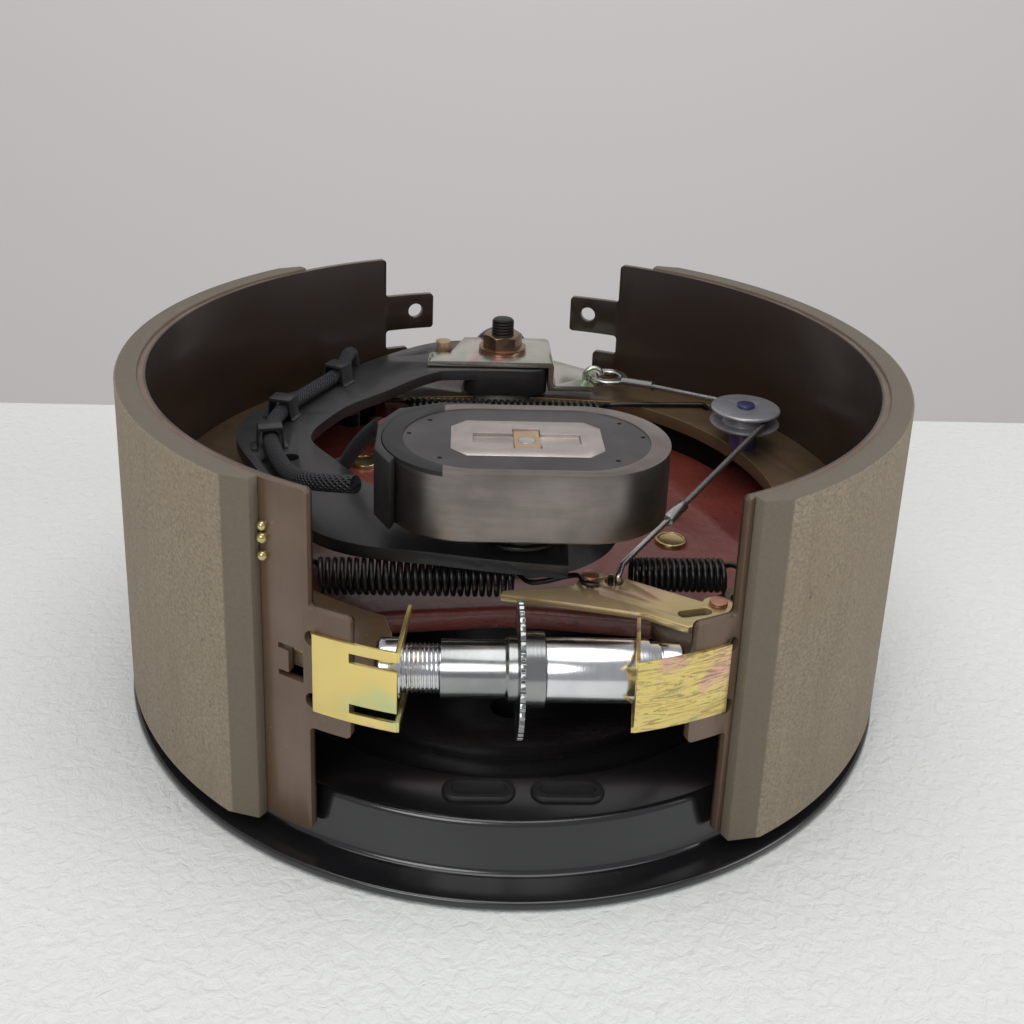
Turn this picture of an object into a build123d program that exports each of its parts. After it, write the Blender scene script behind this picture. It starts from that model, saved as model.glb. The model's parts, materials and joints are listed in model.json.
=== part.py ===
"""Electric trailer brake assembly, 12-1/4 x 5 in class, with a cable-driven self-adjuster.

Millimetres. The back mounting face is z = 0, the spindle axis is Z, and the anchor post
stands towards +Y. The short primary shoe is at -X and the long secondary shoe at +X.
"""

import math
import os

from build123d import *

# Lining and shoe table
lining_radius = 155.0
lining_thickness = 8.3
lining_width = 127.0
lining_low = 8.5
lining_taper = 11.0
lining_taper_depth = 4.0
table_thickness = 3.1
table_margin = 0.8
skin_gap = 0.05
table_radius = lining_radius - lining_thickness
table_inner = table_radius - table_thickness
mid_height = lining_low + lining_width / 2
primary_lining_span = (-55.1, 48.8)
secondary_lining_span = (-61.6, 59.4)
table_span = (-62.4, 65.7)
anchor_tab_end = 75.7
anchor_tab_low = 25.0
anchor_tab_high = 43.0
anchor_tongue_end = 70.5
anchor_tongue_half = 15.0
tab_hole_angle = 72.0
tab_hole_height = 34.5
tab_hole_radius = 3.75
adjuster_tab_end = -68.3
adjuster_tab_half = 21.8
clip_hole_angle = -62.9
clip_hole_height = 11.5
clip_hole_radius = 2.8
lance_angle = -59.6
lance_long = 12.0
lance_wide = 10.0

# Shoe web
web_thickness = 6.0
web_inner = table_inner - 31.6
web_outer = table_inner - skin_gap
web_low = mid_height - web_thickness / 2
web_high = mid_height + web_thickness / 2
web_span = (-66.0, 64.0)
spring_hole_radius = 3.6
upper_hole_x = web_inner - 11
upper_hole_y = web_inner - 22
lower_hole_x = web_inner - 32.5
lower_hole_y = 24 - web_inner

# Anchor post, its stud and the plate that the nut clamps
anchor_reach = table_inner - 28.6
post_radius = 19.0
post_low = 30.0
post_step = web_high + 2.5
journal_radius = 13.0
shoe_clearance = 0.3
running_gap = 0.06
stud_radius = 5.4
plate_low = 91.2
plate_thickness = 2.9
plate_high = plate_low + plate_thickness
foot_high = 82.2
stud_high = 110.5
nut_flange_radius = 11.7
nut_flange_height = 2.0
nut_flats = 17.0
nut_height = 8.6
washer_radius = 11.9

# Magnet arm
arm_low = 85.6
arm_thickness = 5.0
arm_high = arm_low + arm_thickness
hub_radius = 20.5
lug_front = 19.3
lug_back = 22.5
lug_radius = 15.0
lug_high = 99.0
hub_middle = 1.5
hub_width = 41.0
hub_depth = 37.0
hub_low = post_step + 0.3
arm_pin_radius = 3.8
arm_pin_height = 6.6
strap_height = 9.8

# Magnet
magnet_x = 2.0
magnet_y = -76.0
magnet_length = 100.4
magnet_end_wall = 7.0
magnet_width = 60.0
magnet_low = 104.6
magnet_high = 130.0
magnet_wall = 4.2
magnet_travel = 2.0
pole_length = 53.0
pole_width = 30.0
pole_corner = 5.5
magnet_post_radius = 5.5
boot_half = magnet_length / 2 + 2.2
boot_back = magnet_width / 2 + 2.0
pad_radius = 18.5
pad_thickness = 3.0

# Adjuster
adjuster_y = 15.0 - table_inner
button_radius = 9.6
button_end = -47.0
button_face = -38.6
screw_radius = 8.0
thread_root = 7.3
screw_reach = -5.0
sleeve_radius = 9.2
sleeve_start = -26.0
wheel_start = -1.4
wheel_end = 0.4
wheel_radius = 21.8
wheel_teeth = 40
collar_end = 7.3
collar_radius = 11.9
spigot_radius = 7.5
spigot_end = 32.0
tube_end = 41.0
tube_radius = 10.2
tip_radius = 9.3
tip_end = 52.0
web_slot_depth = 5.0
side_clearance = 0.3

# Self-adjust lever, its pivot and spring pin
lever_low = 82.5
lever_thickness = 2.5
lever_high = lever_low + lever_thickness
pivot_x = web_inner - 45.4
pivot_y = 3 - web_inner
pivot_radius = 2.2
ear_x = pivot_x - 33.6
ear_y = pivot_y + 14.4
ear_hole_radius = 3.3
spring_pin_x = pivot_x - 42.1
spring_pin_y = pivot_y + 12.0
prong_low = 10.9
clip_slot_x = button_face - 16

# Cable guide and cable
guide_x = web_inner - 4
guide_y = web_inner - 67
guide_radius = 15.5
guide_low = 85.9
guide_high = 94.3
guide_flange = 1.5
guide_hub_radius = 10.0
guide_post_radius = 6.0
guide_pin_radius = 3.0
cable_radius = 1.2
cable_level = (guide_low + guide_high) / 2
cable_bend = guide_hub_radius + cable_radius + 0.3
eye_x = 53.0
eye_y = anchor_reach - 9
eye_level = foot_high + 1.6
eye_outer = 9.5
eye_inner = 5.6
eye_half = 1.2
hook_radius = 1.6
ferrule_radius = 2.3

# Dust shield
shield_radius = lining_radius + 0.4
sheet = 2.0
rim_high = 3.0
ridge_foot = shield_radius - 12.4
ridge_outer = ridge_foot - 5
ridge_inner = ridge_outer - 23.4
ridge_high = 20.0
floor_high = 10.0
plug_length = 25.5
plug_width = 11.0
plug_proud = 1.6
plug_y = -(ridge_inner + 8.4)
plug_centres = (-12.3, 17.9)

# Cast spider
spindle_radius = 47.5
pilot_radius = 83.7
flange_radius = 94.0
flange_high = 16.0
slope_foot = (flange_radius + ridge_inner) / 2
hub_ring_radius = 59.0
casting_high = 58.0
casting_plate = 8.0
casting_radius = web_inner + 16
bolt_circle = 140.0
bolt_count = 7
bolt_hole_radius = 7.2
boss_radius = 23.0
pad_post_radius = 6.5
pad_angles = (64.0, 118.0, -22.0, 202.0)
cap_radius = 6.9
cap_height = 1.9
cap_places = ((67.1, -16.0), (-64.4, 54.7))
rivet_angles = (30.0, 150.0, 210.0, 330.0)
rivet_radius = 2.5
rivet_circle = pilot_radius + 4.8

# Harness
sleeve_x = -74.0
sleeve_y = anchor_reach - 9
harness_radius = 3.3
branch_radius = 3.1
lead_radius = 1.3
grommet_radius = 6.5
junction_level = arm_low - 1.6


def polar(radius, angle):
    """A point in plan at this radius and this many degrees from +X."""
    return (radius * math.cos(math.radians(angle)), radius * math.sin(math.radians(angle)))


def ring_sector(inner, outer, start, end):
    """A flat sector of a ring between two angles."""
    with BuildSketch() as sector:
        with BuildLine():
            CenterArc((0, 0), outer, start, end - start)
            CenterArc((0, 0), inner, start, end - start)
            Line(polar(inner, start), polar(outer, start))
            Line(polar(inner, end), polar(outer, end))
        make_face()
    return sector.sketch


def block(low_corner, high_corner):
    """A box between two corners, as a private object."""
    size = [high - low for low, high in zip(low_corner, high_corner)]
    middle = [(high + low) / 2 for low, high in zip(low_corner, high_corner)]
    return Pos(*middle) * Box(*size, mode=Mode.PRIVATE)


def rod(start, end, radius):
    """A plain round bar between two points."""
    with BuildPart() as bar:
        with BuildLine():
            axis = Line(start, end)
        with BuildSketch(Plane(origin=start, z_dir=axis % 0)):
            Circle(radius)
        sweep()
    return bar.part


def wire(points, radii, radius):
    """A round wire along straight runs joined by tangent arcs."""
    with BuildPart() as bar:
        with BuildLine():
            route = FilletPolyline(*points, radius=radii)
        with BuildSketch(Plane(origin=route @ 0, z_dir=route % 0)):
            Circle(radius)
        sweep()
    return bar.part


def radial_plane(radius, angle, height):
    """A plane that faces outwards at this place on a cylinder round Z."""
    x, y = polar(1, angle)
    return Plane(origin=(radius * x, radius * y, height), z_dir=(x, y, 0), x_dir=(0, 0, 1))


def corner_edges(part, length):
    """The short straight edges that cross a bent sheet."""
    return part.edges().filter_by(GeomType.LINE).filter_by(
        lambda edge: abs(edge.length - length) < 0.02
    )


# Shoe tables: the bent plates that the linings are bonded to
with BuildPart() as secondary_table:
    with BuildSketch(Plane.XY.offset(lining_low + table_margin)):
        add(ring_sector(table_inner, table_radius, *table_span))
    extrude(amount=lining_width - 2 * table_margin)
    for side in (-1, 1):
        low = mid_height + min(side * anchor_tab_low, side * anchor_tab_high)
        with BuildSketch(Plane.XY.offset(low)):
            add(ring_sector(table_inner, table_radius, table_span[1] - 3, anchor_tab_end))
        extrude(amount=anchor_tab_high - anchor_tab_low)
    with BuildSketch(Plane.XY.offset(mid_height - anchor_tongue_half)):
        add(ring_sector(table_inner, table_radius, table_span[1] - 3, anchor_tongue_end))
    extrude(amount=2 * anchor_tongue_half)
    with BuildSketch(Plane.XY.offset(mid_height - adjuster_tab_half)):
        add(ring_sector(table_inner, table_radius, adjuster_tab_end, table_span[0] + 3))
    extrude(amount=2 * adjuster_tab_half)
    fillet(corner_edges(secondary_table, table_thickness), radius=1.8)
    for side in (-1, 1):
        with BuildSketch(radial_plane(table_inner - 2, tab_hole_angle,
                                      mid_height + side * tab_hole_height)):
            Circle(tab_hole_radius)
        extrude(amount=table_thickness + 4, mode=Mode.SUBTRACT)
        with BuildSketch(radial_plane(table_inner - 2, clip_hole_angle,
                                      mid_height + side * clip_hole_height)):
            Circle(clip_hole_radius)
        extrude(amount=table_thickness + 4, mode=Mode.SUBTRACT)
    with BuildSketch(radial_plane(table_inner - 2, lance_angle, mid_height)):
        Rectangle(lance_long, lance_wide)
        with Locations((0, -lance_wide / 2 + 2)):
            Rectangle(lance_long - 4, 4.2, mode=Mode.SUBTRACT)
    extrude(amount=table_thickness + 4, mode=Mode.SUBTRACT)

with BuildPart() as primary_table:
    mirror(secondary_table.part, about=Plane.YZ)


def lining_block(start, end):
    """A bonded lining whose two ends taper off."""
    lean = math.degrees(lining_taper / lining_radius)
    tip = lining_radius - lining_taper_depth
    with BuildPart() as shell:
        with BuildSketch(Plane.XY.offset(lining_low)):
            with BuildLine():
                CenterArc((0, 0), lining_radius, start + lean, end - start - 2 * lean)
                CenterArc((0, 0), table_radius, start, end - start)
                Polyline(polar(table_radius, start), polar(tip, start),
                         polar(lining_radius, start + lean))
                Polyline(polar(table_radius, end), polar(tip, end),
                         polar(lining_radius, end - lean))
            make_face()
        extrude(amount=lining_width)
    return shell.part


with BuildPart() as secondary_lining:
    add(lining_block(*secondary_lining_span))

with BuildPart() as primary_lining:
    mirror(lining_block(*primary_lining_span), about=Plane.YZ)


def web_plate(adjuster_end):
    """The flat shoe web, right-hand: anchor nose, ring and adjuster nose."""
    with BuildPart() as plate:
        with BuildSketch(Plane.XY.offset(web_low)):
            add(ring_sector(web_inner, web_outer, *web_span))
            with BuildLine():
                Polyline(polar(web_inner, web_span[1] - 6), polar(web_outer, web_span[1]),
                         (34, anchor_reach + 22), (14, anchor_reach + 17),
                         (14, anchor_reach - 16), (36, anchor_reach - 18), close=True)
            make_face()
            with BuildLine():
                Polyline(polar(web_inner, web_span[0]), (adjuster_end, adjuster_y + 15),
                         (adjuster_end, adjuster_y - 6), polar(web_outer, web_span[0]),
                         polar(web_outer, web_span[0] + 4), close=True)
            make_face()
            with Locations((0, anchor_reach)):
                Circle(post_radius + shoe_clearance, mode=Mode.SUBTRACT)
            with Locations((upper_hole_x, upper_hole_y), (lower_hole_x, lower_hole_y)):
                Circle(spring_hole_radius, mode=Mode.SUBTRACT)
        extrude(amount=web_thickness)
    return plate.part


with BuildPart() as secondary_web:
    add(web_plate(tip_end - web_slot_depth + side_clearance))
    with Locations((pivot_x, pivot_y, web_low), (guide_x, guide_y, web_low)):
        Cylinder(pivot_radius + running_gap, 3 * web_thickness, mode=Mode.SUBTRACT)

with BuildPart() as primary_web:
    mirror(web_plate(-button_end - web_slot_depth + side_clearance), about=Plane.YZ)
    with BuildSketch(Plane.XY.offset(web_low)):
        with Locations((sleeve_x, sleeve_y), (sleeve_x * 0.9, sleeve_y * 0.9),
                       (sleeve_x * 0.8, sleeve_y * 0.8)):
            Circle(9.0)
    extrude(amount=web_thickness, mode=Mode.SUBTRACT)

# Dust shield: a pressed dish with a raised ring and two slots for adjusting
with BuildPart() as dust_shield:
    with BuildSketch(Plane.XZ):
        with BuildLine():
            Polyline((pilot_radius + 0.3, floor_high - sheet), (pilot_radius + 0.3, floor_high),
                     (slope_foot, floor_high), (ridge_inner, ridge_high),
                     (ridge_outer, ridge_high), (ridge_foot, rim_high),
                     (shield_radius, rim_high), (shield_radius, 0),
                     (shield_radius - sheet, 0), (shield_radius - sheet, rim_high - sheet),
                     (ridge_foot - sheet, rim_high - sheet),
                     (ridge_outer - sheet, ridge_high - sheet),
                     (ridge_inner + sheet, ridge_high - sheet),
                     (slope_foot + 0.6, floor_high - sheet), close=True)
        make_face()
    revolve(axis=Axis.Z)
    fillet(dust_shield.edges().filter_by(GeomType.CIRCLE).filter_by(
        lambda edge: abs(edge.arc_center.Z - ridge_high) < 0.1), radius=1.2 * sheet)
    fillet(dust_shield.edges().filter_by(GeomType.CIRCLE).filter_by(
        lambda edge: abs(edge.arc_center.Z - rim_high) < 0.1
        and abs(edge.radius - ridge_foot) < 0.5), radius=0.9 * sheet)
    with BuildSketch(Plane.XY.offset(ridge_high - 2 * sheet)):
        for x in plug_centres:
            with Locations((x, plug_y)):
                SlotOverall(plug_length - 3, plug_width - 3)
    extrude(amount=3 * sheet, mode=Mode.SUBTRACT)
    with Locations((sleeve_x, sleeve_y, ridge_high)):
        Cylinder(grommet_radius - 2, 4 * sheet, mode=Mode.SUBTRACT)
    for angle in rivet_angles:
        with Locations((*polar(rivet_circle, angle), floor_high)):
            Cylinder(rivet_radius, 4 * sheet, mode=Mode.SUBTRACT)

with BuildPart() as slot_plugs:
    for x in plug_centres:
        with BuildSketch(Plane.XY.offset(ridge_high)):
            with Locations((x, plug_y)):
                SlotOverall(plug_length, plug_width)
        extrude(amount=plug_proud, taper=20)
        with BuildSketch(Plane.XY.offset(ridge_high - sheet - 2)):
            with Locations((x, plug_y)):
                SlotOverall(plug_length - 3.2, plug_width - 3.2)
        extrude(amount=sheet + 2)
        with BuildSketch(Plane.XY.offset(ridge_high + 0.8)):
            with Locations((x, plug_y)):
                SlotOverall(plug_length - 7, plug_width - 5.5)
        extrude(amount=plug_proud, mode=Mode.SUBTRACT)

with BuildPart() as shield_rivets:
    for angle in rivet_angles:
        with Locations((*polar(rivet_circle, angle), 0)):
            with Locations((0, 0, (flange_high + floor_high - sheet) / 2)):
                Cylinder(rivet_radius - 0.05, flange_high - floor_high + sheet)
            with Locations((0, 0, floor_high - sheet - 0.9)):
                Cylinder(rivet_radius + 1.8, 1.8)
            with Locations((0, 0, flange_high + 0.9)):
                Cylinder(rivet_radius + 1.8, 1.8)

# Cast spider: bolting flange, spindle ring, upper plate, anchor boss and shoe rests
with BuildPart() as spider:
    with BuildSketch():
        Circle(pilot_radius)
    extrude(amount=floor_high)
    with BuildSketch(Plane.XY.offset(floor_high)):
        Circle(flange_radius)
    extrude(amount=flange_high - floor_high)
    with BuildSketch():
        Circle(hub_ring_radius)
    extrude(amount=casting_high)
    with BuildSketch(Plane.XY.offset(casting_high - casting_plate)):
        with BuildLine():
            front = Spline((-76, -84), (-45, -74.5), (-22, -71.5), (0, -69.5), (22, -71.5),
                           (45, -74.5), (76, -84))
            Line(front @ 0, polar(casting_radius, 220))
            Line(front @ 1, polar(casting_radius, -40))
            CenterArc((0, 0), casting_radius, -40, 260)
        make_face()
        add(ring_sector(web_inner + 1, casting_radius + 2, 29, 57), mode=Mode.SUBTRACT)
        add(ring_sector(web_inner - 36, web_inner - 9, 152, 174), mode=Mode.SUBTRACT)
    extrude(amount=casting_plate)
    for angle in (-12, 68, 120, 190):
        with BuildSketch(Plane.XY.offset(flange_high - 1)):
            with Locations(Rotation(0, 0, angle)):
                with Locations((72, 0)):
                    Rectangle(40, 9)
        extrude(amount=casting_high - flange_high - casting_plate / 2)
    with BuildSketch(Plane.XY.offset(ridge_high + side_clearance)):
        with Locations((0, anchor_reach)):
            Circle(boss_radius)
        with Locations((0, anchor_reach - 22)):
            Rectangle(30, 44)
    extrude(amount=casting_high - ridge_high - side_clearance)
    for angle in pad_angles:
        with Locations((*polar(web_inner + 8, angle), casting_high - 2)):
            Cylinder(pad_post_radius, web_low - skin_gap - casting_high + 2,
                     align=(Align.CENTER, Align.CENTER, Align.MIN))
    fillet(spider.edges().filter_by(GeomType.BSPLINE).sort_by(Axis.Z)[-1], radius=3)
    with Locations((0, 0, casting_high / 2)):
        Cylinder(spindle_radius, 2 * casting_high, mode=Mode.SUBTRACT)
    with PolarLocations(bolt_circle / 2, bolt_count, start_angle=90 + 180 / bolt_count):
        Cylinder(bolt_hole_radius, 4 * flange_high, mode=Mode.SUBTRACT)
    with Locations((0, anchor_reach, post_low + casting_high)):
        Cylinder(journal_radius, 2 * casting_high, mode=Mode.SUBTRACT)
    with Locations((sleeve_x, sleeve_y, casting_high)):
        Cylinder(9.0, 4 * casting_plate, mode=Mode.SUBTRACT)
    for angle in rivet_angles:
        with Locations((*polar(rivet_circle, angle), flange_high / 2)):
            Cylinder(rivet_radius, flange_high, mode=Mode.SUBTRACT)

with BuildPart() as casting_caps:
    for x, y in cap_places:
        with BuildSketch(Plane.XY.offset(casting_high)):
            with Locations((x, y)):
                Circle(cap_radius)
        extrude(amount=cap_height, taper=12)
        with BuildSketch(Plane.XY.offset(casting_high + cap_height - 0.6)):
            with Locations((x, y)):
                Circle(cap_radius - 1.8)
        extrude(amount=cap_height, mode=Mode.SUBTRACT)

# Anchor: a stepped post that both webs bear on, with a threaded stud on top
with BuildPart() as anchor_post:
    with BuildSketch(Plane.XZ.offset(-anchor_reach)):
        with BuildLine():
            Polyline((0, post_low), (journal_radius - 0.05, post_low),
                     (journal_radius - 0.05, casting_high), (post_radius, casting_high),
                     (post_radius, post_step), (journal_radius, post_step),
                     (journal_radius, plate_low), (stud_radius, plate_low),
                     (stud_radius, stud_high - 1), (stud_radius - 1, stud_high),
                     (0, stud_high), close=True)
        make_face()
    revolve(axis=Axis((0, anchor_reach, 0), (0, 0, 1)))

with BuildPart() as anchor_nut:
    with BuildSketch(Plane.XY.offset(plate_high)):
        with Locations((0, anchor_reach)):
            Circle(nut_flange_radius)
    extrude(amount=nut_flange_height)
    with BuildSketch(Plane.XY.offset(plate_high + nut_flange_height)):
        with Locations((0, anchor_reach)):
            RegularPolygon(nut_flats / 2, 6, major_radius=False, rotation=8)
    extrude(amount=nut_height - nut_flange_height)
    with BuildSketch(Plane.XZ.offset(-anchor_reach)):
        with BuildLine():
            Polyline((nut_flats / 2, plate_high + nut_height + 1),
                     (nut_flats / 2, plate_high + nut_height),
                     (nut_flats, plate_high + nut_height - nut_flats / 2 * 0.5),
                     (nut_flats, plate_high + nut_height + 1), close=True)
        make_face()
    revolve(axis=Axis((0, anchor_reach, 0), (0, 0, 1)), mode=Mode.SUBTRACT)
    with Locations((0, anchor_reach, plate_high)):
        Cylinder(stud_radius + 0.05, 4 * nut_height, mode=Mode.SUBTRACT)

with BuildPart() as anchor_bracket:
    with BuildSketch(Plane.XY.offset(plate_low)):
        with BuildLine():
            Polyline((-37, anchor_reach - 18), (25, anchor_reach - 18), (25, anchor_reach + 18),
                     (-19, anchor_reach + 18), (-26, anchor_reach - 6), (-37, anchor_reach - 6),
                     close=True)
        make_face()
    extrude(amount=plate_thickness)
    with BuildSketch(Plane.XZ.offset(18 - anchor_reach)):
        with BuildLine():
            Polyline((25, plate_low), (25, foot_high), (45, foot_high),
                     (45, foot_high - plate_thickness), (22.5, foot_high - plate_thickness),
                     (22.5, plate_low), close=True)
        make_face()
    extrude(amount=-36)
    with Locations((0, anchor_reach, plate_low)):
        Cylinder(stud_radius + 0.1, 4 * plate_thickness, mode=Mode.SUBTRACT)
    bends = anchor_bracket.edges().filter_by(Axis.Y)
    fillet(bends.filter_by(lambda edge: abs(edge.center().Z - plate_high) < 0.1), radius=2.6)
    fillet(bends.filter_by(lambda edge: abs(edge.center().Z - foot_high) < 0.1
                           and abs(edge.center().X - 25) < 0.1), radius=1.6)
    with BuildSketch(Plane.XY.offset(foot_high - plate_thickness)):
        with BuildLine():
            Polyline((28, anchor_reach + 18), (45, anchor_reach + 5), (46, anchor_reach + 19),
                     close=True)
        make_face()
    extrude(amount=plate_thickness, mode=Mode.SUBTRACT)
    hook_in = eye_x - eye_outer - side_clearance - hook_radius
    hook_out = eye_x - eye_inner + side_clearance + hook_radius
    hook_top = eye_level + eye_half + 2 * hook_radius
    add(wire([(hook_in, eye_y, foot_high - 2), (hook_in, eye_y, hook_top),
              (hook_out, eye_y, hook_top), (hook_out, eye_y, foot_high - 3)],
             0.47 * (hook_out - hook_in), hook_radius))

with BuildPart() as stop_pin:
    with Locations((-29.6, anchor_reach + 3, arm_low + arm_thickness / 2)):
        Cylinder(arm_pin_radius - 1, arm_thickness)
    with Locations((-29.6, anchor_reach + 3, arm_high + arm_pin_height / 2)):
        Cylinder(arm_pin_radius, arm_pin_height)

# Magnet arm: a plate bent round the hub, with lanced straps that hold the harness
arm_outer = [(-37.9, 131), (-52.8, 118), (-68, 101), (-98, 57), (-112.5, 34), (-115, 12),
             (-109, -6), (-101, -22), (-90, -48), (-72, -73)]
arm_front = [(-55.5, -82), (-31.4, -86.5), (-12, -90.5), (17, -94.5)]
arm_inner = [(19.5, -60), (-20, -52), (-48, -40), (-64, -22), (-75, -6), (-83.5, 11),
             (-79, 29), (-70, 47), (-57, 62), (-43.6, 79), (-30, 92)]
strap_places = ((-78.2, 73.5, 63.4), (-97.8, 31, 74), (-98.9, 0, 103.5))

with BuildPart() as strap:
    with BuildSketch(Plane.YZ.offset(-4)):
        with BuildLine():
            Polyline((-6.9, -1), (-6.9, 0.9), (-5.6, 1.2), (-4.9, strap_height),
                     (4.9, strap_height), (5.6, 1.2), (8, 0.9), (8, -1), (5.4, -1),
                     (4.2, strap_height - 1.4), (-4.2, strap_height - 1.4), (-5.4, -1),
                     close=True)
        make_face()
    extrude(amount=8)

with BuildPart() as magnet_arm:
    with BuildSketch(Plane.XY.offset(arm_low)):
        with BuildLine():
            start = (-6, anchor_reach + hub_radius)
            outer = Spline(start, *arm_outer)
            front_edge = Spline(outer @ 1, *arm_front)
            end_edge = Line(front_edge @ 1, arm_inner[0])
            inner = Spline(*arm_inner)
            Line(inner @ 1, (12, anchor_reach - hub_radius + 2))
            Line((12, anchor_reach - hub_radius + 2), start)
        make_face()
        with Locations((hub_middle, anchor_reach - 3)):
            RectangleRounded(hub_width, hub_depth, 9)
    extrude(amount=arm_thickness)
    with BuildSketch(Plane.XY.offset(hub_low)):
        with Locations((hub_middle, anchor_reach - 3)):
            RectangleRounded(hub_width, hub_depth, 9)
    extrude(amount=arm_low - hub_low)
    with BuildSketch(Plane.XY.offset(hub_low)):
        with Locations((0, anchor_reach + 18)):
            Rectangle(28, 9)
    extrude(amount=arm_high - hub_low)
    with BuildSketch(Plane.XZ.offset(-(anchor_reach + lug_back))):
        with Locations((0, lug_high - lug_radius)):
            Circle(lug_radius)
        with Locations((0, (hub_low + arm_low) / 2)):
            Rectangle(2 * lug_radius - 2, arm_low - hub_low)
        with Locations((0, hub_low - lug_radius)):
            Rectangle(3 * lug_radius, 2 * lug_radius, mode=Mode.SUBTRACT)
    extrude(amount=lug_back - lug_front)
    with BuildSketch(Plane.XY.offset(arm_high)):
        with Locations((magnet_x, magnet_y)):
            Circle(magnet_post_radius + 3)
    extrude(amount=pad_thickness)
    with Locations((0, anchor_reach, arm_low)):
        Cylinder(journal_radius + running_gap, 8 * arm_thickness, mode=Mode.SUBTRACT)
    with Locations((magnet_x, magnet_y, arm_low)):
        Cylinder(magnet_post_radius, 8 * arm_thickness, mode=Mode.SUBTRACT)
    with Locations((-29.6, anchor_reach + 3, arm_low)):
        Cylinder(arm_pin_radius - 1, 4 * arm_thickness, mode=Mode.SUBTRACT)
    with BuildSketch(Plane.XY.offset(arm_low)):
        with Locations(Location((-93, -12, 0), (0, 0, 25))):
            SlotOverall(15, 7)
    extrude(amount=arm_thickness, mode=Mode.SUBTRACT)
    for x, y, angle in strap_places:
        with Locations(Location((x, y, arm_high), (0, 0, angle))):
            add(strap.part)

# Magnet: steel case, potted face, pole plate, post, spring and wire boot
with BuildPart() as magnet_case:
    with BuildSketch(Plane.XY.offset(magnet_low)):
        with Locations((magnet_x, magnet_y)):
            SlotOverall(magnet_length, magnet_width)
    extrude(amount=magnet_high - magnet_low)
    with BuildSketch(Plane.XY.offset(magnet_low + 3)):
        with Locations((magnet_x, magnet_y)):
            SlotOverall(magnet_length - 2 * magnet_end_wall, magnet_width - 2 * magnet_wall)
    extrude(amount=magnet_high, mode=Mode.SUBTRACT)
    with Locations((magnet_x, magnet_y, magnet_low)):
        Cylinder(magnet_post_radius + 1.5, 20, mode=Mode.SUBTRACT)
    fillet(magnet_case.edges().group_by(Axis.Z)[0].filter_by(
        lambda edge: edge.length > 40), radius=1.2)

with BuildPart() as magnet_face:
    with BuildSketch(Plane.XY.offset(magnet_low + 3.0)):
        with Locations((magnet_x, magnet_y)):
            SlotOverall(magnet_length - 2 * magnet_end_wall - 0.1, magnet_width - 2 * magnet_wall - 0.1)
    extrude(amount=magnet_high - magnet_low - 3.3)
    with BuildSketch(Plane.XY.offset(magnet_high - 3)):
        with Locations((magnet_x, magnet_y)):
            pocket = Rectangle(pole_length + 0.1, pole_width + 0.1)
        chamfer(pocket.vertices(), length=pole_corner)
    extrude(amount=4, mode=Mode.SUBTRACT)
    with Locations((magnet_x, magnet_y, magnet_low)):
        Cylinder(magnet_post_radius + 1.5, 80, mode=Mode.SUBTRACT)
    for x, y in ((-41, 3), (-34, 15), (-30, -17), (41, 3), (34, 15), (30, -17)):
        with Locations((magnet_x + x, magnet_y + y, magnet_high)):
            Cylinder(0.9, 2, mode=Mode.SUBTRACT)

with BuildPart() as pole_plate:
    with BuildSketch(Plane.XY.offset(magnet_high - 3)):
        with Locations((magnet_x, magnet_y)):
            Rectangle(pole_length, pole_width)
    extrude(amount=2.9)
    chamfer(pole_plate.edges().filter_by(Axis.Z), length=pole_corner)
    with BuildSketch(Plane.XY.offset(magnet_high - 1.6)):
        with Locations((magnet_x, magnet_y)):
            Rectangle(37.5, 8)
            Rectangle(9.7, 17)
    extrude(amount=4, mode=Mode.SUBTRACT)
    with Locations((magnet_x, magnet_y, magnet_high - 3)):
        Cylinder(3.1, 20, mode=Mode.SUBTRACT)

with BuildPart() as magnet_post:
    with Locations((magnet_x, magnet_y, arm_low)):
        Cylinder(magnet_post_radius - 0.05, magnet_high - 3.4 - magnet_travel - arm_low,
                 align=(Align.CENTER, Align.CENTER, Align.MIN))
        Cylinder(3.0, magnet_high - 0.7 - arm_low,
                 align=(Align.CENTER, Align.CENTER, Align.MIN))

with BuildPart() as magnet_clip:
    with BuildSketch(Plane.XY.offset(magnet_high - 1.5)):
        with Locations((magnet_x, magnet_y)):
            Rectangle(8.8, 16)
            Circle(3.05, mode=Mode.SUBTRACT)
    extrude(amount=0.7)

with BuildPart() as magnet_spring:
    with BuildLine() as turns:
        Helix(pitch=4.2, height=magnet_low - arm_high - 3.0, radius=pad_radius - 3,
              center=(magnet_x, magnet_y, arm_high + 1.45), cone_angle=0)
    with BuildSketch(Plane(origin=turns.line @ 0, z_dir=turns.line % 0)):
        Circle(1.3)
    sweep(is_frenet=True)

with BuildPart() as wire_boot:
    with BuildSketch(Plane.XY.offset(magnet_low)):
        with BuildLine():
            Polyline((magnet_x - boot_half + 5.9, magnet_y - 22.5),
                     (magnet_x - boot_half, magnet_y - 11), (magnet_x - boot_half, magnet_y + 12),
                     (magnet_x - boot_half + 6.4, magnet_y + 25),
                     (magnet_x - boot_half + 22.4, magnet_y + boot_back),
                     (magnet_x - 12, magnet_y + boot_back), (magnet_x - 12, magnet_y + 20),
                     (magnet_x - boot_half + 13.7, magnet_y), close=True)
        make_face()
        with Locations((magnet_x, magnet_y)):
            SlotOverall(magnet_length + 0.1, magnet_width + 0.1, mode=Mode.SUBTRACT)
    extrude(amount=magnet_high - magnet_low)

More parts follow.
